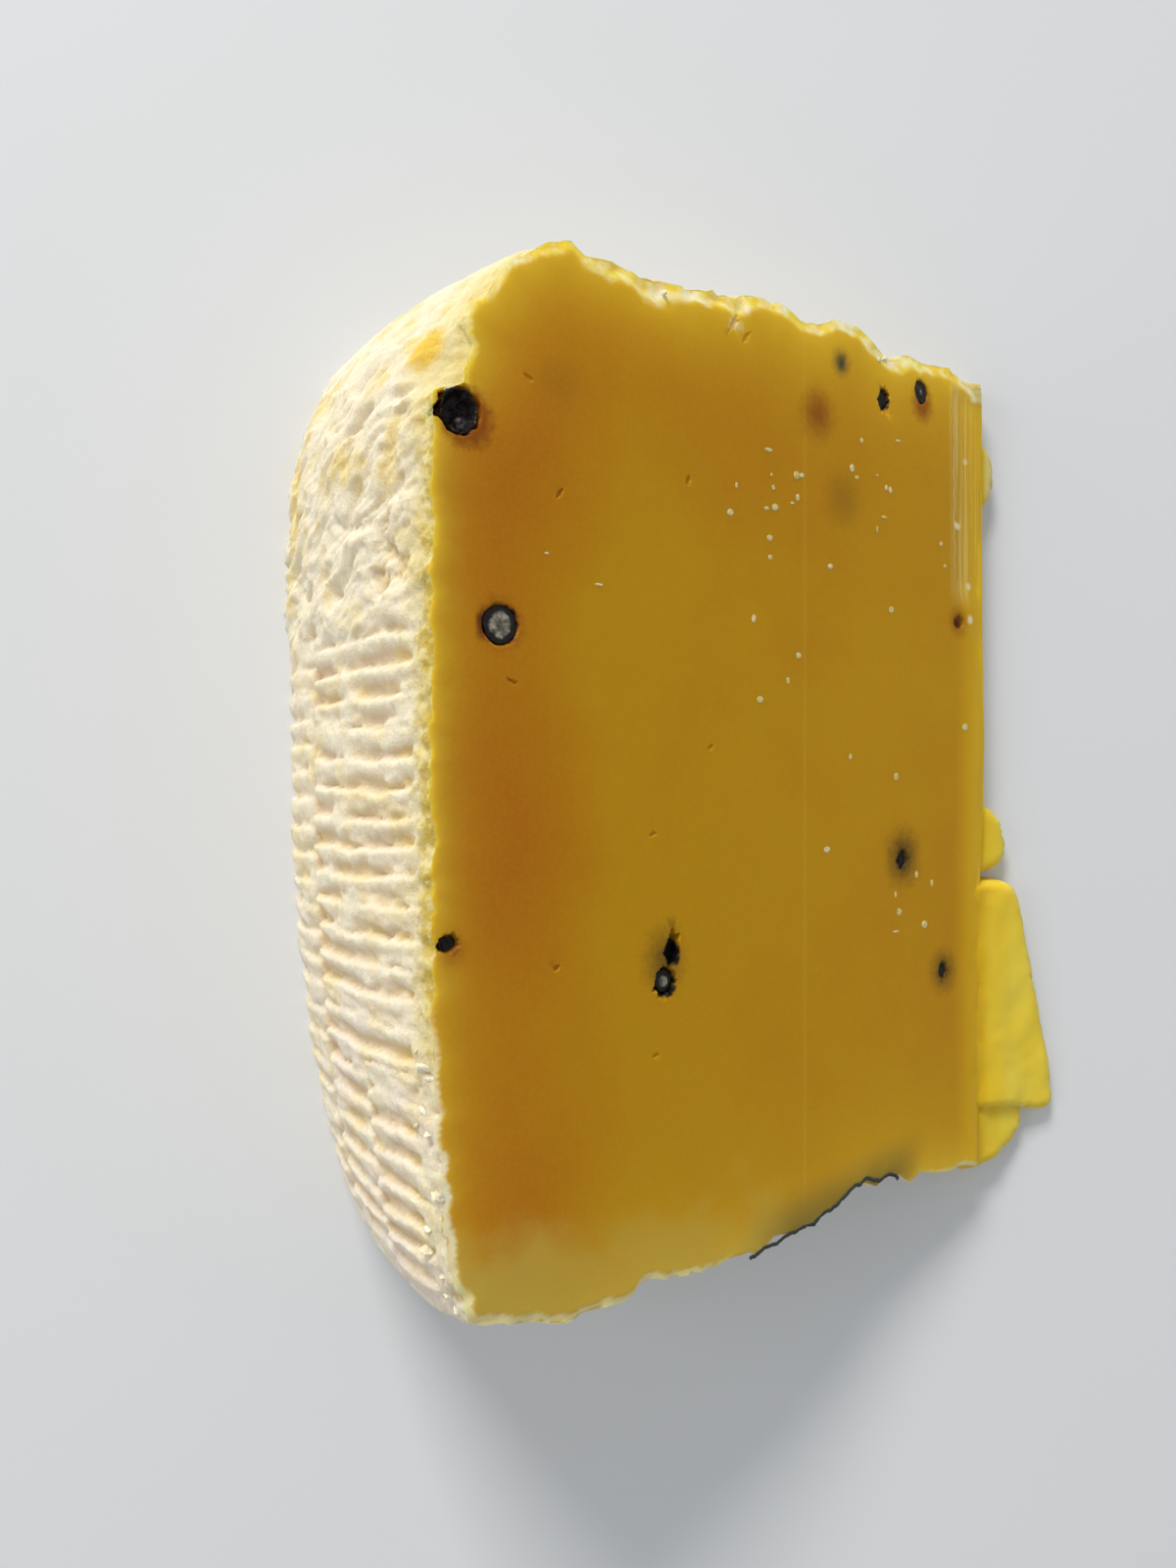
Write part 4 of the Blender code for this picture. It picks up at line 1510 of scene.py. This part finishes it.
    def wear_down(self, points: np.ndarray) -> np.ndarray:
        """Lowers what stands over the worn rim of the upper cut.

        Args:
            points: The shell's points.

        Returns:
            The points, none of them over the worn rim.
        """
        start, along, _, out = self.shape.face_axes()
        above = (points - start) @ out
        near = np.flatnonzero(above > -2.5)
        flat = np.stack([(points[near] - start) @ along, points[near, 1] - self.shape.apex[1]], -1)
        drop, _ = self.rim.wear(flat, np.zeros(len(near)))
        excess = np.maximum(above[near] + drop, 0)
        worn = points.copy()
        worn[near] -= excess[:, None] * out
        return worn

    def raised(self, flat: np.ndarray, rim: np.ndarray) -> np.ndarray:
        """Places of the upper cut face as points, with its hollows and its worn rim.

        Args:
            flat: Places on the cut face, one a row.
            rim: Their distances from the rind.

        Returns:
            Points in the row's frame.
        """
        start, along, up, out = self.shape.face_axes()
        from_heel, low, high, depth = self.shaved
        drop = depth * smooth(from_heel, from_heel + 0.25, flat[:, 0])
        drop = drop * smooth(low - 0.6, low + 0.6, flat[:, 1]) * (1 - smooth(high, high + 3.0, flat[:, 1]))
        for hollow in self.hollows:
            drop = np.maximum(drop, hollow.drop(flat))
        uneven = 0.05 * lumps(flat[:, 0] / 9, flat[:, 1] / 11, 2.0)
        drop = np.maximum(drop, self.rim.wear(flat, rim)[0]) + uneven
        return start + flat[:, :1] * along + flat[:, 1:] * up - drop[:, None] * out

    def lying(self, flat: np.ndarray) -> np.ndarray:
        """Places of the lower cut face as points on the table."""
        start = self.shape.point(self.shape.arris_radius, 0.0, 0.0)
        return np.stack([start[0] + flat[:, 0], self.shape.apex[1] + flat[:, 1], np.zeros(len(flat))], -1)


@dataclass(frozen=True)
class Flake:
    """One flake: its outline as (distance from the heel's foot, height), and its two thicknesses."""

    corners: tuple[Place, ...]
    root: float
    edge: float


@dataclass
class TipFlakes:
    """Thin flakes that tore out of the tip and still hang from it, flat on the table."""

    shape: WedgeShape
    root: float = 91.0
    edge: float = 109.0
    flakes: tuple[Flake, ...] = (
        Flake(((91, -1.5), (97.3, -2.6), (99.8, -4.3), (101.2, -7.1), (101.5, -10.0), (99.9, -12.6),
               (91, -13.8)), root=5.6, edge=1.2),
        Flake(((91, -13.6), (98, -13.6), (101.3, -13.9), (103.2, -16.2), (105.4, -26.4), (107.5, -35.8),
               (108.8, -42.0), (109.3, -48.2), (103, -47.3), (91, -46.6)), root=6.9, edge=1.9),
        Flake(((91, -44.6), (103.6, -45.6), (104.3, -49.3), (102.3, -52.2), (99.2, -54.6), (95.5, -55.6),
               (91, -55.0)), root=5.9, edge=1.1),
        Flake(((91, 50.4), (97.6, 49.4), (98.9, 47.5), (99.4, 44.7), (99.1, 41.8), (97.6, 39.6),
               (91, 38.0)), root=5.0, edge=1.3),
    )

    def join(self, mesh: bpy.types.Mesh) -> bpy.types.Mesh:
        """Unites the flakes with the wedge.

        Args:
            mesh: The wedge, closed.

        Returns:
            The wedge with its flakes.
        """
        scene = bpy.context.scene.collection
        wedge = bpy.data.objects.new("wedge", mesh)
        scene.objects.link(wedge)
        pieces = bpy.data.collections.new("flakes")
        scene.children.link(pieces)
        for number, flake in enumerate(self.flakes):
            hanging = bpy.data.objects.new(f"flake_{number}", self.mesh(number, flake, mesh))
            pieces.objects.link(hanging)
        modifier = wedge.modifiers.new("join flakes", "BOOLEAN")
        modifier.operation = "UNION"
        modifier.operand_type = "COLLECTION"
        modifier.collection = pieces
        modifier.solver = "EXACT"
        bpy.context.view_layer.update()
        graph = bpy.context.evaluated_depsgraph_get()
        joined = bpy.data.meshes.new_from_object(wedge.evaluated_get(graph), depsgraph=graph)
        for member in list(pieces.objects):
            bpy.data.objects.remove(member)
        bpy.data.collections.remove(pieces)
        bpy.data.objects.remove(wedge)
        return joined

    def mesh(self, number: int, flake: Flake, like: bpy.types.Mesh) -> bpy.types.Mesh:
        """One flake's mesh: flat underneath, rounded and wavy on top.

        Args:
            number: The flake's number, which changes its waves.
            flake: Its outline and its thicknesses at the tip and at the outer edge.
            like: The mesh whose materials it takes.

        Returns:
            The mesh.
        """
        outline = self.rounded(np.array(flake.corners, float), number)
        flat, triangles = CutFace(outline, spacing=0.8, seed=30 + number).net()
        closed = np.vstack([outline, outline[:1]])
        away = closest(flat, closed)
        share = np.clip((flat[:, 0] - self.root) / (self.edge - self.root), 0, 1) ** 0.7
        thick = mix(flake.root, flake.edge, share)
        thick += 0.35 * lumps(flat[:, 0] / 3.5, flat[:, 1] / 6.0, 4.0 + number)
        thick += 0.12 * lumps(flat[:, 0] / 1.1, flat[:, 1] / 1.5, 6.0 + number)
        round_edge = np.sqrt(1 - (1 - np.clip(away / 1.1, 0, 1)) ** 2)
        top = thick * (0.16 + 0.84 * round_edge)
        x = self.shape.apex[0] - self.shape.foot_radius + flat[:, 0]
        y = self.shape.apex[1] + flat[:, 1]
        points = np.vstack([np.stack([x, y, top], -1), np.stack([x, y, np.full_like(x, 0.02)], -1)])
        count, rim = len(flat), len(outline)
        faces = [tuple(t) for t in triangles]
        faces += [tuple(count + corner for corner in t[::-1]) for t in triangles]
        for here in range(rim):
            there = (here + 1) % rim
            faces.append((there, here, count + here, count + there))
        mesh = make_mesh("flake", points, faces)
        for material in like.materials:
            mesh.materials.append(material)
        mesh.polygons.foreach_set("material_index", [1] * len(faces))
        set_numbers(mesh, "rim", np.full(len(points), 9.0))
        set_numbers(mesh, "groove", np.zeros(len(points)))
        set_numbers(mesh, "crumbly", np.zeros(len(points)))
        # thin: 1 at a flake's outline, where the painted glow of its thin edge is strongest.
        set_numbers(mesh, "thin", np.tile(1 - smooth(0.0, 2.3, away), 2))
        face_outwards(mesh)
        return mesh

    @staticmethod
    def rounded(corners: np.ndarray, number: int) -> np.ndarray:
        """A flake's outline with its corners rounded and its edge a little ragged.

        Args:
            corners: The outline's corners.
            number: Changes the raggedness.

        Returns:
            The outline, closely spaced.
        """
        for _ in range(2):
            after = np.roll(corners, -1, axis=0)
            pairs = np.stack([mix(corners, after, 0.22), mix(corners, after, 0.78)], 1)
            corners = pairs.reshape(-1, 2)
        found = []
        for start, end in zip(corners, np.roll(corners, -1, axis=0)):
            count = max(1, round(float(np.hypot(*(end - start))) / 0.5))
            found += [mix(start, end, i / count) for i in range(count)]
        line = np.array(found)
        ragged = np.stack([
            lumps(line[:, 0] / 1.6, line[:, 1] / 1.6, 3.0 + number),
            lumps(line[:, 0] / 1.6, line[:, 1] / 1.6, 9.0 + number),
        ], -1)
        return line + 0.12 * ragged


class Kernel(Enum):
    """How a peppercorn shows at the cut."""

    SHELL = "shell"
    CUT = "cut"
    SHREDDED = "shredded"


@dataclass(frozen=True)
class PeppercornFinish:
    """A peppercorn: black wrinkled skin round a pale grey core."""

    skin: Colour = (0.007, 0.0045, 0.004)
    ridge: Colour = (0.032, 0.015, 0.010)
    core: Colour = (0.33, 0.31, 0.235)
    dark_core: Colour = (0.10, 0.085, 0.06)
    roughness: float = 0.24

    def build(self) -> bpy.types.Material:
        """Makes the material.

        Returns:
            The material.
        """
        graph = ShaderGraph("peppercorn", {"Specular IOR Level": 0.3})
        point = graph.place()
        wrinkle = graph.noise(point, 1.5, 4.0, 0.65)
        skin = graph.blend(wrinkle.smooth(0.5, 0.75), self.skin, self.ridge)
        mottle = graph.noise(point, 1.1, 4.0, 0.65)
        core = graph.blend(mottle.smooth(0.38, 0.62), self.dark_core, self.core)
        ragged = graph.attribute("core") + (graph.noise(point, 0.9, 3.0) - 0.5) * 0.5
        inner = ragged.smooth(0.30, 0.46)
        graph.feed(
            Base_Color=graph.blend(inner, skin, core),
            Roughness=self.roughness + 0.35 * inner + 0.2 * wrinkle,
            Normal=graph.bump(wrinkle, 0.22, 0.8),
        )
        return graph.material


@dataclass(frozen=True)
class Peppercorn:
    """One peppercorn in its hollow."""

    number: int
    at: Place
    size: Place
    sunk: float
    kernel: Kernel
    top: float = 0.2
    turn: float = 0.0
    wrinkle: float = 0.10
    pale: float = 1.0

    def build(self, shape: WedgeShape, material: bpy.types.Material) -> bpy.types.Object:
        """Makes the peppercorn.

        Args:
            shape: The wedge, which gives the cut face.
            material: The peppercorns' material.

        Returns:
            The piece.
        """
        work = bmesh.new()
        bmesh.ops.create_icosphere(work, subdivisions=5, radius=1.0)
        mesh = bpy.data.meshes.new(f"peppercorn_{self.number}")
        work.to_mesh(mesh)
        work.free()
        ball = get_points(mesh) * MM
        seed = 3.1 * self.number
        coarse = lumps(ball[:, 0] * 1.7 + seed, ball[:, 1] * 1.7, ball[:, 2] * 1.7)
        ridged = 1 - 2 * np.abs(lumps(ball[:, 0] * 2.6, ball[:, 1] * 2.6 + seed, ball[:, 2] * 2.6))
        swell = 1 - self.wrinkle * 1.2 + self.wrinkle * (coarse + 0.7 * ridged)
        half = np.array([self.size[0] / 2, self.size[1] / 2, (self.size[0] + self.size[1]) / 4])
        flat = ball * swell[:, None] * half
        flat[:, 2] -= self.sunk
        reach = np.hypot(flat[:, 0] / half[0], flat[:, 1] / half[1])
        ceiling = self.ceiling(flat, reach, seed)
        core = np.where(flat[:, 2] > ceiling, 1.0 - reach, 0.0) * (self.kernel is Kernel.CUT) * self.pale
        flat[:, 2] = np.minimum(flat[:, 2], ceiling)
        cosine, sine = math.cos(self.turn), math.sin(self.turn)
        start, along, up, out = shape.face_axes()
        across = self.at[0] + flat[:, 0] * cosine - flat[:, 1] * sine
        high = self.at[1] + flat[:, 0] * sine + flat[:, 1] * cosine
        points = start + across[:, None] * along + high[:, None] * up + flat[:, 2:] * out
        mesh.vertices.foreach_set("co", (points * MM).astype(np.float32).ravel())
        set_numbers(mesh, "core", core)
        mesh.materials.append(material)
        mesh.update()
        mesh.shade_smooth()
        return add_piece(f"pepper_{self.number}", mesh, [f"peppercorn_{self.number}"])

    def ceiling(self, flat: np.ndarray, reach: np.ndarray, seed: float) -> np.ndarray:
        """The height that the knife left over each place.

        Args:
            flat: Points of the peppercorn, one a row.
            reach: How far out they are, where 1 is the skin.
            seed: Changes the unevenness.

        Returns:
            The greatest height at each point.
        """
        if self.kernel is Kernel.CUT:
            return -self.top - 0.10 * lumps(flat[:, 0] * 1.4, flat[:, 1] * 1.4, seed)
        if self.kernel is Kernel.SHREDDED:
            return -self.top - 0.45 * np.abs(lumps(flat[:, 0] * 1.5, flat[:, 1] * 1.1, seed))
        bowl = 1.5 * (1 - smooth(0.50, 0.92, reach))
        bead = np.hypot((flat[:, 0] - 0.65) / 1.10, (flat[:, 1] + 1.15) / 1.0)
        filled = 1.45 * np.sqrt(np.maximum(1 - bead**2, 0))
        bumps = 0.50 * lumps(flat[:, 0] * 1.9, flat[:, 1] * 1.9, seed)
        streaks = 0.12 * lumps(flat[:, 0] * 4.5, flat[:, 1] * 1.3, seed)
        return -self.top - bowl + np.minimum(filled, bowl) + streaks + bumps * smooth(0.7, 1.2, bead)


def peppercorns() -> tuple[Peppercorn, ...]:
    """The peppercorns that the knife met, in the order of their nodes."""
    return (
        Peppercorn(1, (3.2, 39.0), (4.9, 5.4), 0.9, Kernel.SHELL, top=0.0, wrinkle=0.08),
        Peppercorn(2, (8.1, 17.0), (4.3, 4.4), 0.6, Kernel.CUT, top=0.12, turn=0.2, wrinkle=0.05),
        Peppercorn(3, (1.9, -16.6), (2.2, 1.6), 0.8, Kernel.SHREDDED, top=0.45, turn=0.3),
        Peppercorn(4, (30.2, -23.0), (2.5, 2.9), 0.9, Kernel.CUT, top=0.55, wrinkle=0.09, pale=0.7),
        Peppercorn(5, (66.7, 51.2), (1.7, 2.8), 0.8, Kernel.SHREDDED, top=0.35, turn=-0.25),
        Peppercorn(6, (74.0, 53.5), (2.3, 3.3), 0.5, Kernel.CUT, top=0.12, turn=0.25, pale=0.5),
        Peppercorn(7, (81.7, 22.6), (1.6, 1.6), 0.6, Kernel.SHREDDED, top=0.40),
        Peppercorn(8, (70.2, -10.2), (1.6, 2.7), 0.6, Kernel.SHREDDED, top=0.22, turn=-0.2),
        Peppercorn(9, (78.4, -25.8), (1.5, 2.3), 0.6, Kernel.SHREDDED, top=0.2),
    )


@dataclass(frozen=True)
class PaleFinish:
    """Small pale things on the cheese: crumbs of rind, or salt crystals."""

    name: str
    colour: Colour
    other: Colour
    roughness: float = 0.6

    def build(self) -> bpy.types.Material:
        """Makes the material.

        Returns:
            The material.
        """
        graph = ShaderGraph(self.name, {
            "Subsurface Weight": 0.35,
            "Subsurface Radius": (1.0, 0.7, 0.35),
            "Subsurface Scale": 0.25 * MM,
            "Specular IOR Level": 0.25,
        })
        point = graph.place()
        graph.feed(
            Base_Color=graph.blend(graph.noise(point, 0.7, 3.0).smooth(0.35, 0.65), self.colour, self.other),
            Roughness=self.roughness + 0.2 * graph.noise(point, 2.0),
            Normal=graph.bump(graph.noise(point, 2.5, 3.0), 0.3),
        )
        return graph.material


CRUMB_FINISH = PaleFinish("crumb", (0.86, 0.81, 0.66), (0.82, 0.72, 0.46))
CRYSTAL_FINISH = PaleFinish("crystal", (0.82, 0.70, 0.38), (0.74, 0.54, 0.15))


@dataclass(frozen=True)
class Crumbs:
    """Crumbs that stick along the broken edges, strewn by a Geometry Nodes tree over strips."""

    shape: WedgeShape
    size: float = 1.4
    density: float = 0.11
    seed: int = 7

    def beside(self, height: float, drop: float) -> tuple[float, float, float]:
        """A point on the heel below the arris: distance from the heel, height, and rise over the cut face."""
        back = float(self.shape.setback(np.array([height]), np.array([1.0]))[0])
        return back - 0.14 * drop + 0.15, height, -drop

    def strips(self) -> list[tuple[tuple[float, float, float], ...]]:
        """Strips where crumbs stick, by corners: distance from the heel, height, rise over the cut face."""
        arris = [
            (self.beside(low, 4.4), self.beside(low, 0.3), self.beside(high, 0.3), self.beside(high, 4.4))
            for low, high in ((-57, -53), (-53, -47), (-44, -36), (-36, -26))
        ]
        top = ((21.5, 58.3, -0.9), (21.5, 57.0, -0.3), (31.0, 57.2, -0.3), (31.0, 58.5, -0.9))
        right = ((61.0, 57.2, -0.5), (61.0, 56.2, -0.2), (84.0, 55.3, -0.2), (84.0, 56.2, -0.5))
        bottom = ((25.5, -58.2, 0.0), (29.5, -57.3, 0.0), (29.5, -56.5, 0.0), (25.5, -57.4, 0.0))
        return [*arris, top, right, bottom]

    def build(self, material: bpy.types.Material) -> bpy.types.Object:
        """Makes the crumbs.

        Args:
            material: Their material.

        Returns:
            The piece.
        """
        start, along, up, out = self.shape.face_axes()
        corners = [corner for strip in self.strips() for corner in strip]
        points = np.array([start + along * s + up * h + out * w for s, h, w in corners])
        faces = [tuple(range(4 * number, 4 * number + 4)) for number in range(len(self.strips()))]
        mesh = make_mesh("crumb_strips", points, faces)

        graph = GeometryGraph("crumbs")
        density = graph.value("Density", self.density / MM**2)
        size = graph.value("Size", self.size * MM)
        strewn = graph.add(
            "GeometryNodeDistributePointsOnFaces",
            {"Mesh": graph.geometry, "Density": density, "Seed": self.seed},
            output="Points", distribute_method="RANDOM",
        )
        ball = graph.add("GeometryNodeMeshIcoSphere", {"Radius": 0.5, "Subdivisions": 3}, output="Mesh")
        place = graph.add("GeometryNodeInputPosition")
        bumps = (graph.noise(place, 1.9, 2.0, 0.6) - 0.5) * 1.4
        lumpy = graph.add("GeometryNodeSetPosition", {
            "Geometry": ball,
            "Offset": graph.vector_math("MULTIPLY", place, graph.combine(bumps, bumps, bumps)),
        })
        turn = graph.add(
            "FunctionNodeRandomValue", {"Min": (0.0, 0.0, 0.0), "Max": (6.3, 6.3, 6.3), "Seed": 2},
            output="Value", data_type="FLOAT_VECTOR",
        )
        stretch = graph.add(
            "FunctionNodeRandomValue", {"Min": (0.30, 0.30, 0.22), "Max": (1.35, 1.1, 0.6), "Seed": 3},
            output="Value", data_type="FLOAT_VECTOR",
        )
        scale = graph.vector_math("MULTIPLY", stretch, graph.combine(size, size, size))
        placed = graph.add("GeometryNodeInstanceOnPoints", {
            "Points": strewn, "Instance": lumpy, "Rotation": turn, "Scale": scale,
        })
        graph.finish(placed, material)
        made = graph.run(mesh)
        made.shade_smooth()
        return add_piece("crumbs", made)


@dataclass(frozen=True)
class Crystals:
    """Small white crystals in the cut face, set at their places by a Geometry Nodes tree."""

    shape: WedgeShape
    size: float = 0.62
    places: tuple[Place, ...] = (
        (41.0, 36.3), (46.2, 41.4), (46.7, 38.4), (45.9, 34.1), (50.9, 38.9), (50.2, 35.3), (43.8, 20.3),
        (44.8, 10.4), (49.4, 13.0), (51.2, 16.2), (67.1, 39.5), (68.1, 23.3), (69.0, 1.0), (60.4, 3.6),
        (83.0, 8.0), (78.0, 33.2), (68.9, -14.8), (69.6, -17.2), (69.0, -19.8), (74.6, -19.2), (76.1, -13.6),
        (56.2, -8.4), (20.8, 22.4), (13.9, 25.2), (56.8, 28.0), (47.0, 36.8), (47.3, 34.4), (46.4, 30.5),
        (46.5, 28.1), (51.1, 36.1), (51.8, 39.0), (40.0, 32.9), (65.4, 40.9), (66.7, 35.5), (67.9, 39.3),
        (65.4, 33.8), (61.6, 40.1), (69.4, 46.1), (62.5, 45.1), (78.8, 30.2), (60.7, 41.2), (73.0, -12.3),
    )

    def build(self, material: bpy.types.Material) -> bpy.types.Object:
        """Makes the crystals.

        Args:
            material: Their material.

        Returns:
            The piece.
        """
        points = np.array([self.shape.on_face(place, 0.01) for place in self.places])
        graph = GeometryGraph("crystals")
        size = graph.value("Size", self.size * MM)
        ball = graph.add("GeometryNodeMeshIcoSphere", {"Radius": 0.5, "Subdivisions": 3}, output="Mesh")
        dots = graph.add("GeometryNodeMeshToPoints", {"Mesh": graph.geometry})
        share = graph.add(
            "FunctionNodeRandomValue", {"Min": (0.42, 0.36, 0.12), "Max": (2.0, 1.7, 0.20), "Seed": 5},
            output="Value", data_type="FLOAT_VECTOR",
        )
        scale = graph.vector_math("MULTIPLY", share, graph.combine(size, size, size))
        placed = graph.add("GeometryNodeInstanceOnPoints", {
            "Points": dots, "Instance": ball, "Rotation": (0.0, self.shape.angle, 0.0), "Scale": scale,
        })
        graph.finish(placed, material)
        made = graph.run(make_mesh("crystal_places", points, []))
        made.shade_smooth()
        return add_piece("crystals", made)


@dataclass(frozen=True)
class DarkSkin:
    """The thin dark skin that shows along the lower edge of the cut, as a wavy band that follows a path."""

    shape: WedgeShape
    width: float = 0.52
    thickness: float = 0.22
    wave: float = 0.66
    path: tuple[Place, ...] = (
        (43.0, -57.9), (46.0, -57.3), (49.5, -56.6), (54.0, -55.9), (58.0, -54.2), (61.0, -52.7),
        (63.0, -52.2), (65.0, -52.9), (67.5, -52.2), (69.5, -53.2),
    )
    dark: Colour = (0.010, 0.013, 0.011)
    pale: Colour = (0.050, 0.056, 0.044)

    def finish(self) -> bpy.types.Material:
        """Makes the skin's material."""
        shade = ShaderGraph("dark skin", {"Specular IOR Level": 0.4})
        point = shade.place()
        tone = shade.noise(point, 0.8, 3.0)
        shade.feed(
            Base_Color=shade.blend(tone, self.dark, self.pale),
            Roughness=0.45 + 0.3 * tone,
            Normal=shade.bump(shade.noise(point, 3.0), 0.1),
        )
        return shade.material

    def build(self) -> bpy.types.Object:
        """Makes the band.

        Returns:
            The piece.
        """
        points = np.array([self.shape.on_face(place, -0.02) for place in self.path])
        line = bpy.data.meshes.new("skin_path")
        line.from_pydata([tuple(p) for p in points * MM], [(i, i + 1) for i in range(len(points) - 1)], [])

        graph = GeometryGraph("dark skin")
        width = graph.value("Width", self.width * MM)
        wave = graph.value("Wave", self.wave * MM)
        curve = graph.add("GeometryNodeMeshToCurve", {"Mesh": graph.geometry})
        even = graph.add("GeometryNodeResampleCurve", {"Curve": curve, "Count": 260})
        place = graph.add("GeometryNodeInputPosition")
        jitter = graph.add(
            "ShaderNodeTexNoise", {"Vector": place, "Scale": 420.0, "Detail": 3.0}, output="Color",
        )
        centred = graph.vector_math("SUBTRACT", jitter, (0.5, 0.5, 0.5))
        moved = graph.vector_math("MULTIPLY", centred, graph.combine(wave * 2.4, wave * 3.2, wave * 0.4))
        wavy = graph.add("GeometryNodeSetPosition", {"Geometry": even, "Offset": moved})
        circle = {"Resolution": 8, "Radius": 0.5}
        profile = graph.add("GeometryNodeCurvePrimitiveCircle", circle, output="Curve")
        flatness = self.thickness / self.width
        squashed = graph.add("GeometryNodeTransform", {
            "Geometry": profile, "Scale": graph.combine(width, width * flatness, 1.0),
        })
        swept = {"Curve": wavy, "Profile Curve": squashed, "Fill Caps": True}
        band = graph.add("GeometryNodeCurveToMesh", swept)
        graph.finish(band, self.finish())
        made = graph.run(line)
        face_outwards(made)
        made.shade_smooth()
        return add_piece("dark_skin", made)


@dataclass(frozen=True)
class Studio:
    """A pale floor, soft light from the upper left, and the camera over the heel, with sizes in metres."""

    camera_at: tuple[float, float, float] = (-0.04686, -0.00057, 0.16546)
    tilt: float = math.radians(11.0)
    lens: float = 28.125
    floor_size: float = 3.0
    floor_colour: Colour = (0.74, 0.75, 0.76)
    floor_shade: Colour = (0.7289, 0.73875, 0.7486)
    sky: Colour = (0.93, 0.965, 1.0)
    sky_strength: float = 0.46
    key_at: tuple[float, float, float] = (-0.67, 1.63, 0.92)
    key_size: tuple[float, float] = (0.7, 0.4)
    key_power: float = 32.5
    key_colour: Colour = (1.0, 0.985, 0.965)
    fill_at: tuple[float, float, float] = (-0.97, 0.15, 0.50)
    fill_size: tuple[float, float] = (0.60, 0.60)
    fill_power: float = 2.4

    def build(self) -> None:
        """Makes the floor, the lights and the camera."""
        self.floor()
        self.lights()
        camera = bpy.data.objects.new("camera", bpy.data.cameras.new("camera"))
        camera.data.lens = self.lens
        camera.data.clip_start = 0.005
        camera.location = self.camera_at
        camera.rotation_euler = (0.0, -self.tilt, 0.0)
        bpy.context.scene.collection.objects.link(camera)
        bpy.context.scene.camera = camera
        bpy.context.scene.view_settings.view_transform = "Standard"

    def floor(self) -> None:
        """Makes the floor."""
        half = self.floor_size / 2
        mesh = bpy.data.meshes.new("floor")
        corners = [(-half, -half, 0), (half, -half, 0), (half, half, 0), (-half, half, 0)]
        mesh.from_pydata(corners, [], [(0, 1, 2, 3)])
        graph = ShaderGraph("floor", {"Roughness": 0.55, "Specular IOR Level": 0.25})
        point = graph.place()
        tone = graph.noise(point, 0.02, 2.0)
        graph.feed(Base_Color=graph.blend(tone, self.floor_colour, self.floor_shade))
        mesh.materials.append(graph.material)
        floor = bpy.data.objects.new("floor", mesh)
        bpy.context.scene.collection.objects.link(floor)

    def lights(self) -> None:
        """Makes the sky's even light, the key light and the fill light beside the heel."""
        world = bpy.data.worlds.new("sky")
        world.use_nodes = True
        sky = world.node_tree.nodes["Background"]
        sky.inputs["Color"].default_value = (*self.sky, 1.0)
        sky.inputs["Strength"].default_value = self.sky_strength
        bpy.context.scene.world = world
        self.area_light("key", self.key_at, self.key_size, self.key_power)
        self.area_light("fill", self.fill_at, self.fill_size, self.fill_power)

    def area_light(self, name: str, place: Sequence[float], size: tuple[float, float], power: float) -> None:
        """Makes a flat light that faces the origin.

        Args:
            name: The light's name.
            place: Where it stands.
            size: Its width and height.
            power: Its power, in watts.
        """
        light = bpy.data.lights.new(name, "AREA")
        light.shape = "RECTANGLE"
        light.size, light.size_y = size
        light.energy = power
        light.color = self.key_colour
        lamp = bpy.data.objects.new(name, light)
        lamp.location = place
        lamp.rotation_euler = Vector(place).to_track_quat("Z", "Y").to_euler()
        bpy.context.scene.collection.objects.link(lamp)


def main() -> None:
    """Loads the frame, builds each piece in order and notes the sizes."""
    logging.basicConfig(level=logging.INFO, format="%(name)s: %(message)s")
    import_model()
    shape = WedgeShape()
    Studio().build()
    rind = RindFinish(shape).build()
    paste = PasteFinish(shape).build()
    Cheese(shape).build(rind, paste)
    pepper = PeppercornFinish().build()
    for peppercorn in peppercorns():
        peppercorn.build(shape, pepper)
    Crumbs(shape).build(CRUMB_FINISH.build())
    Crystals(shape).build(CRYSTAL_FINISH.build())
    DarkSkin(shape).build()


if __name__ == "__main__":
    main()
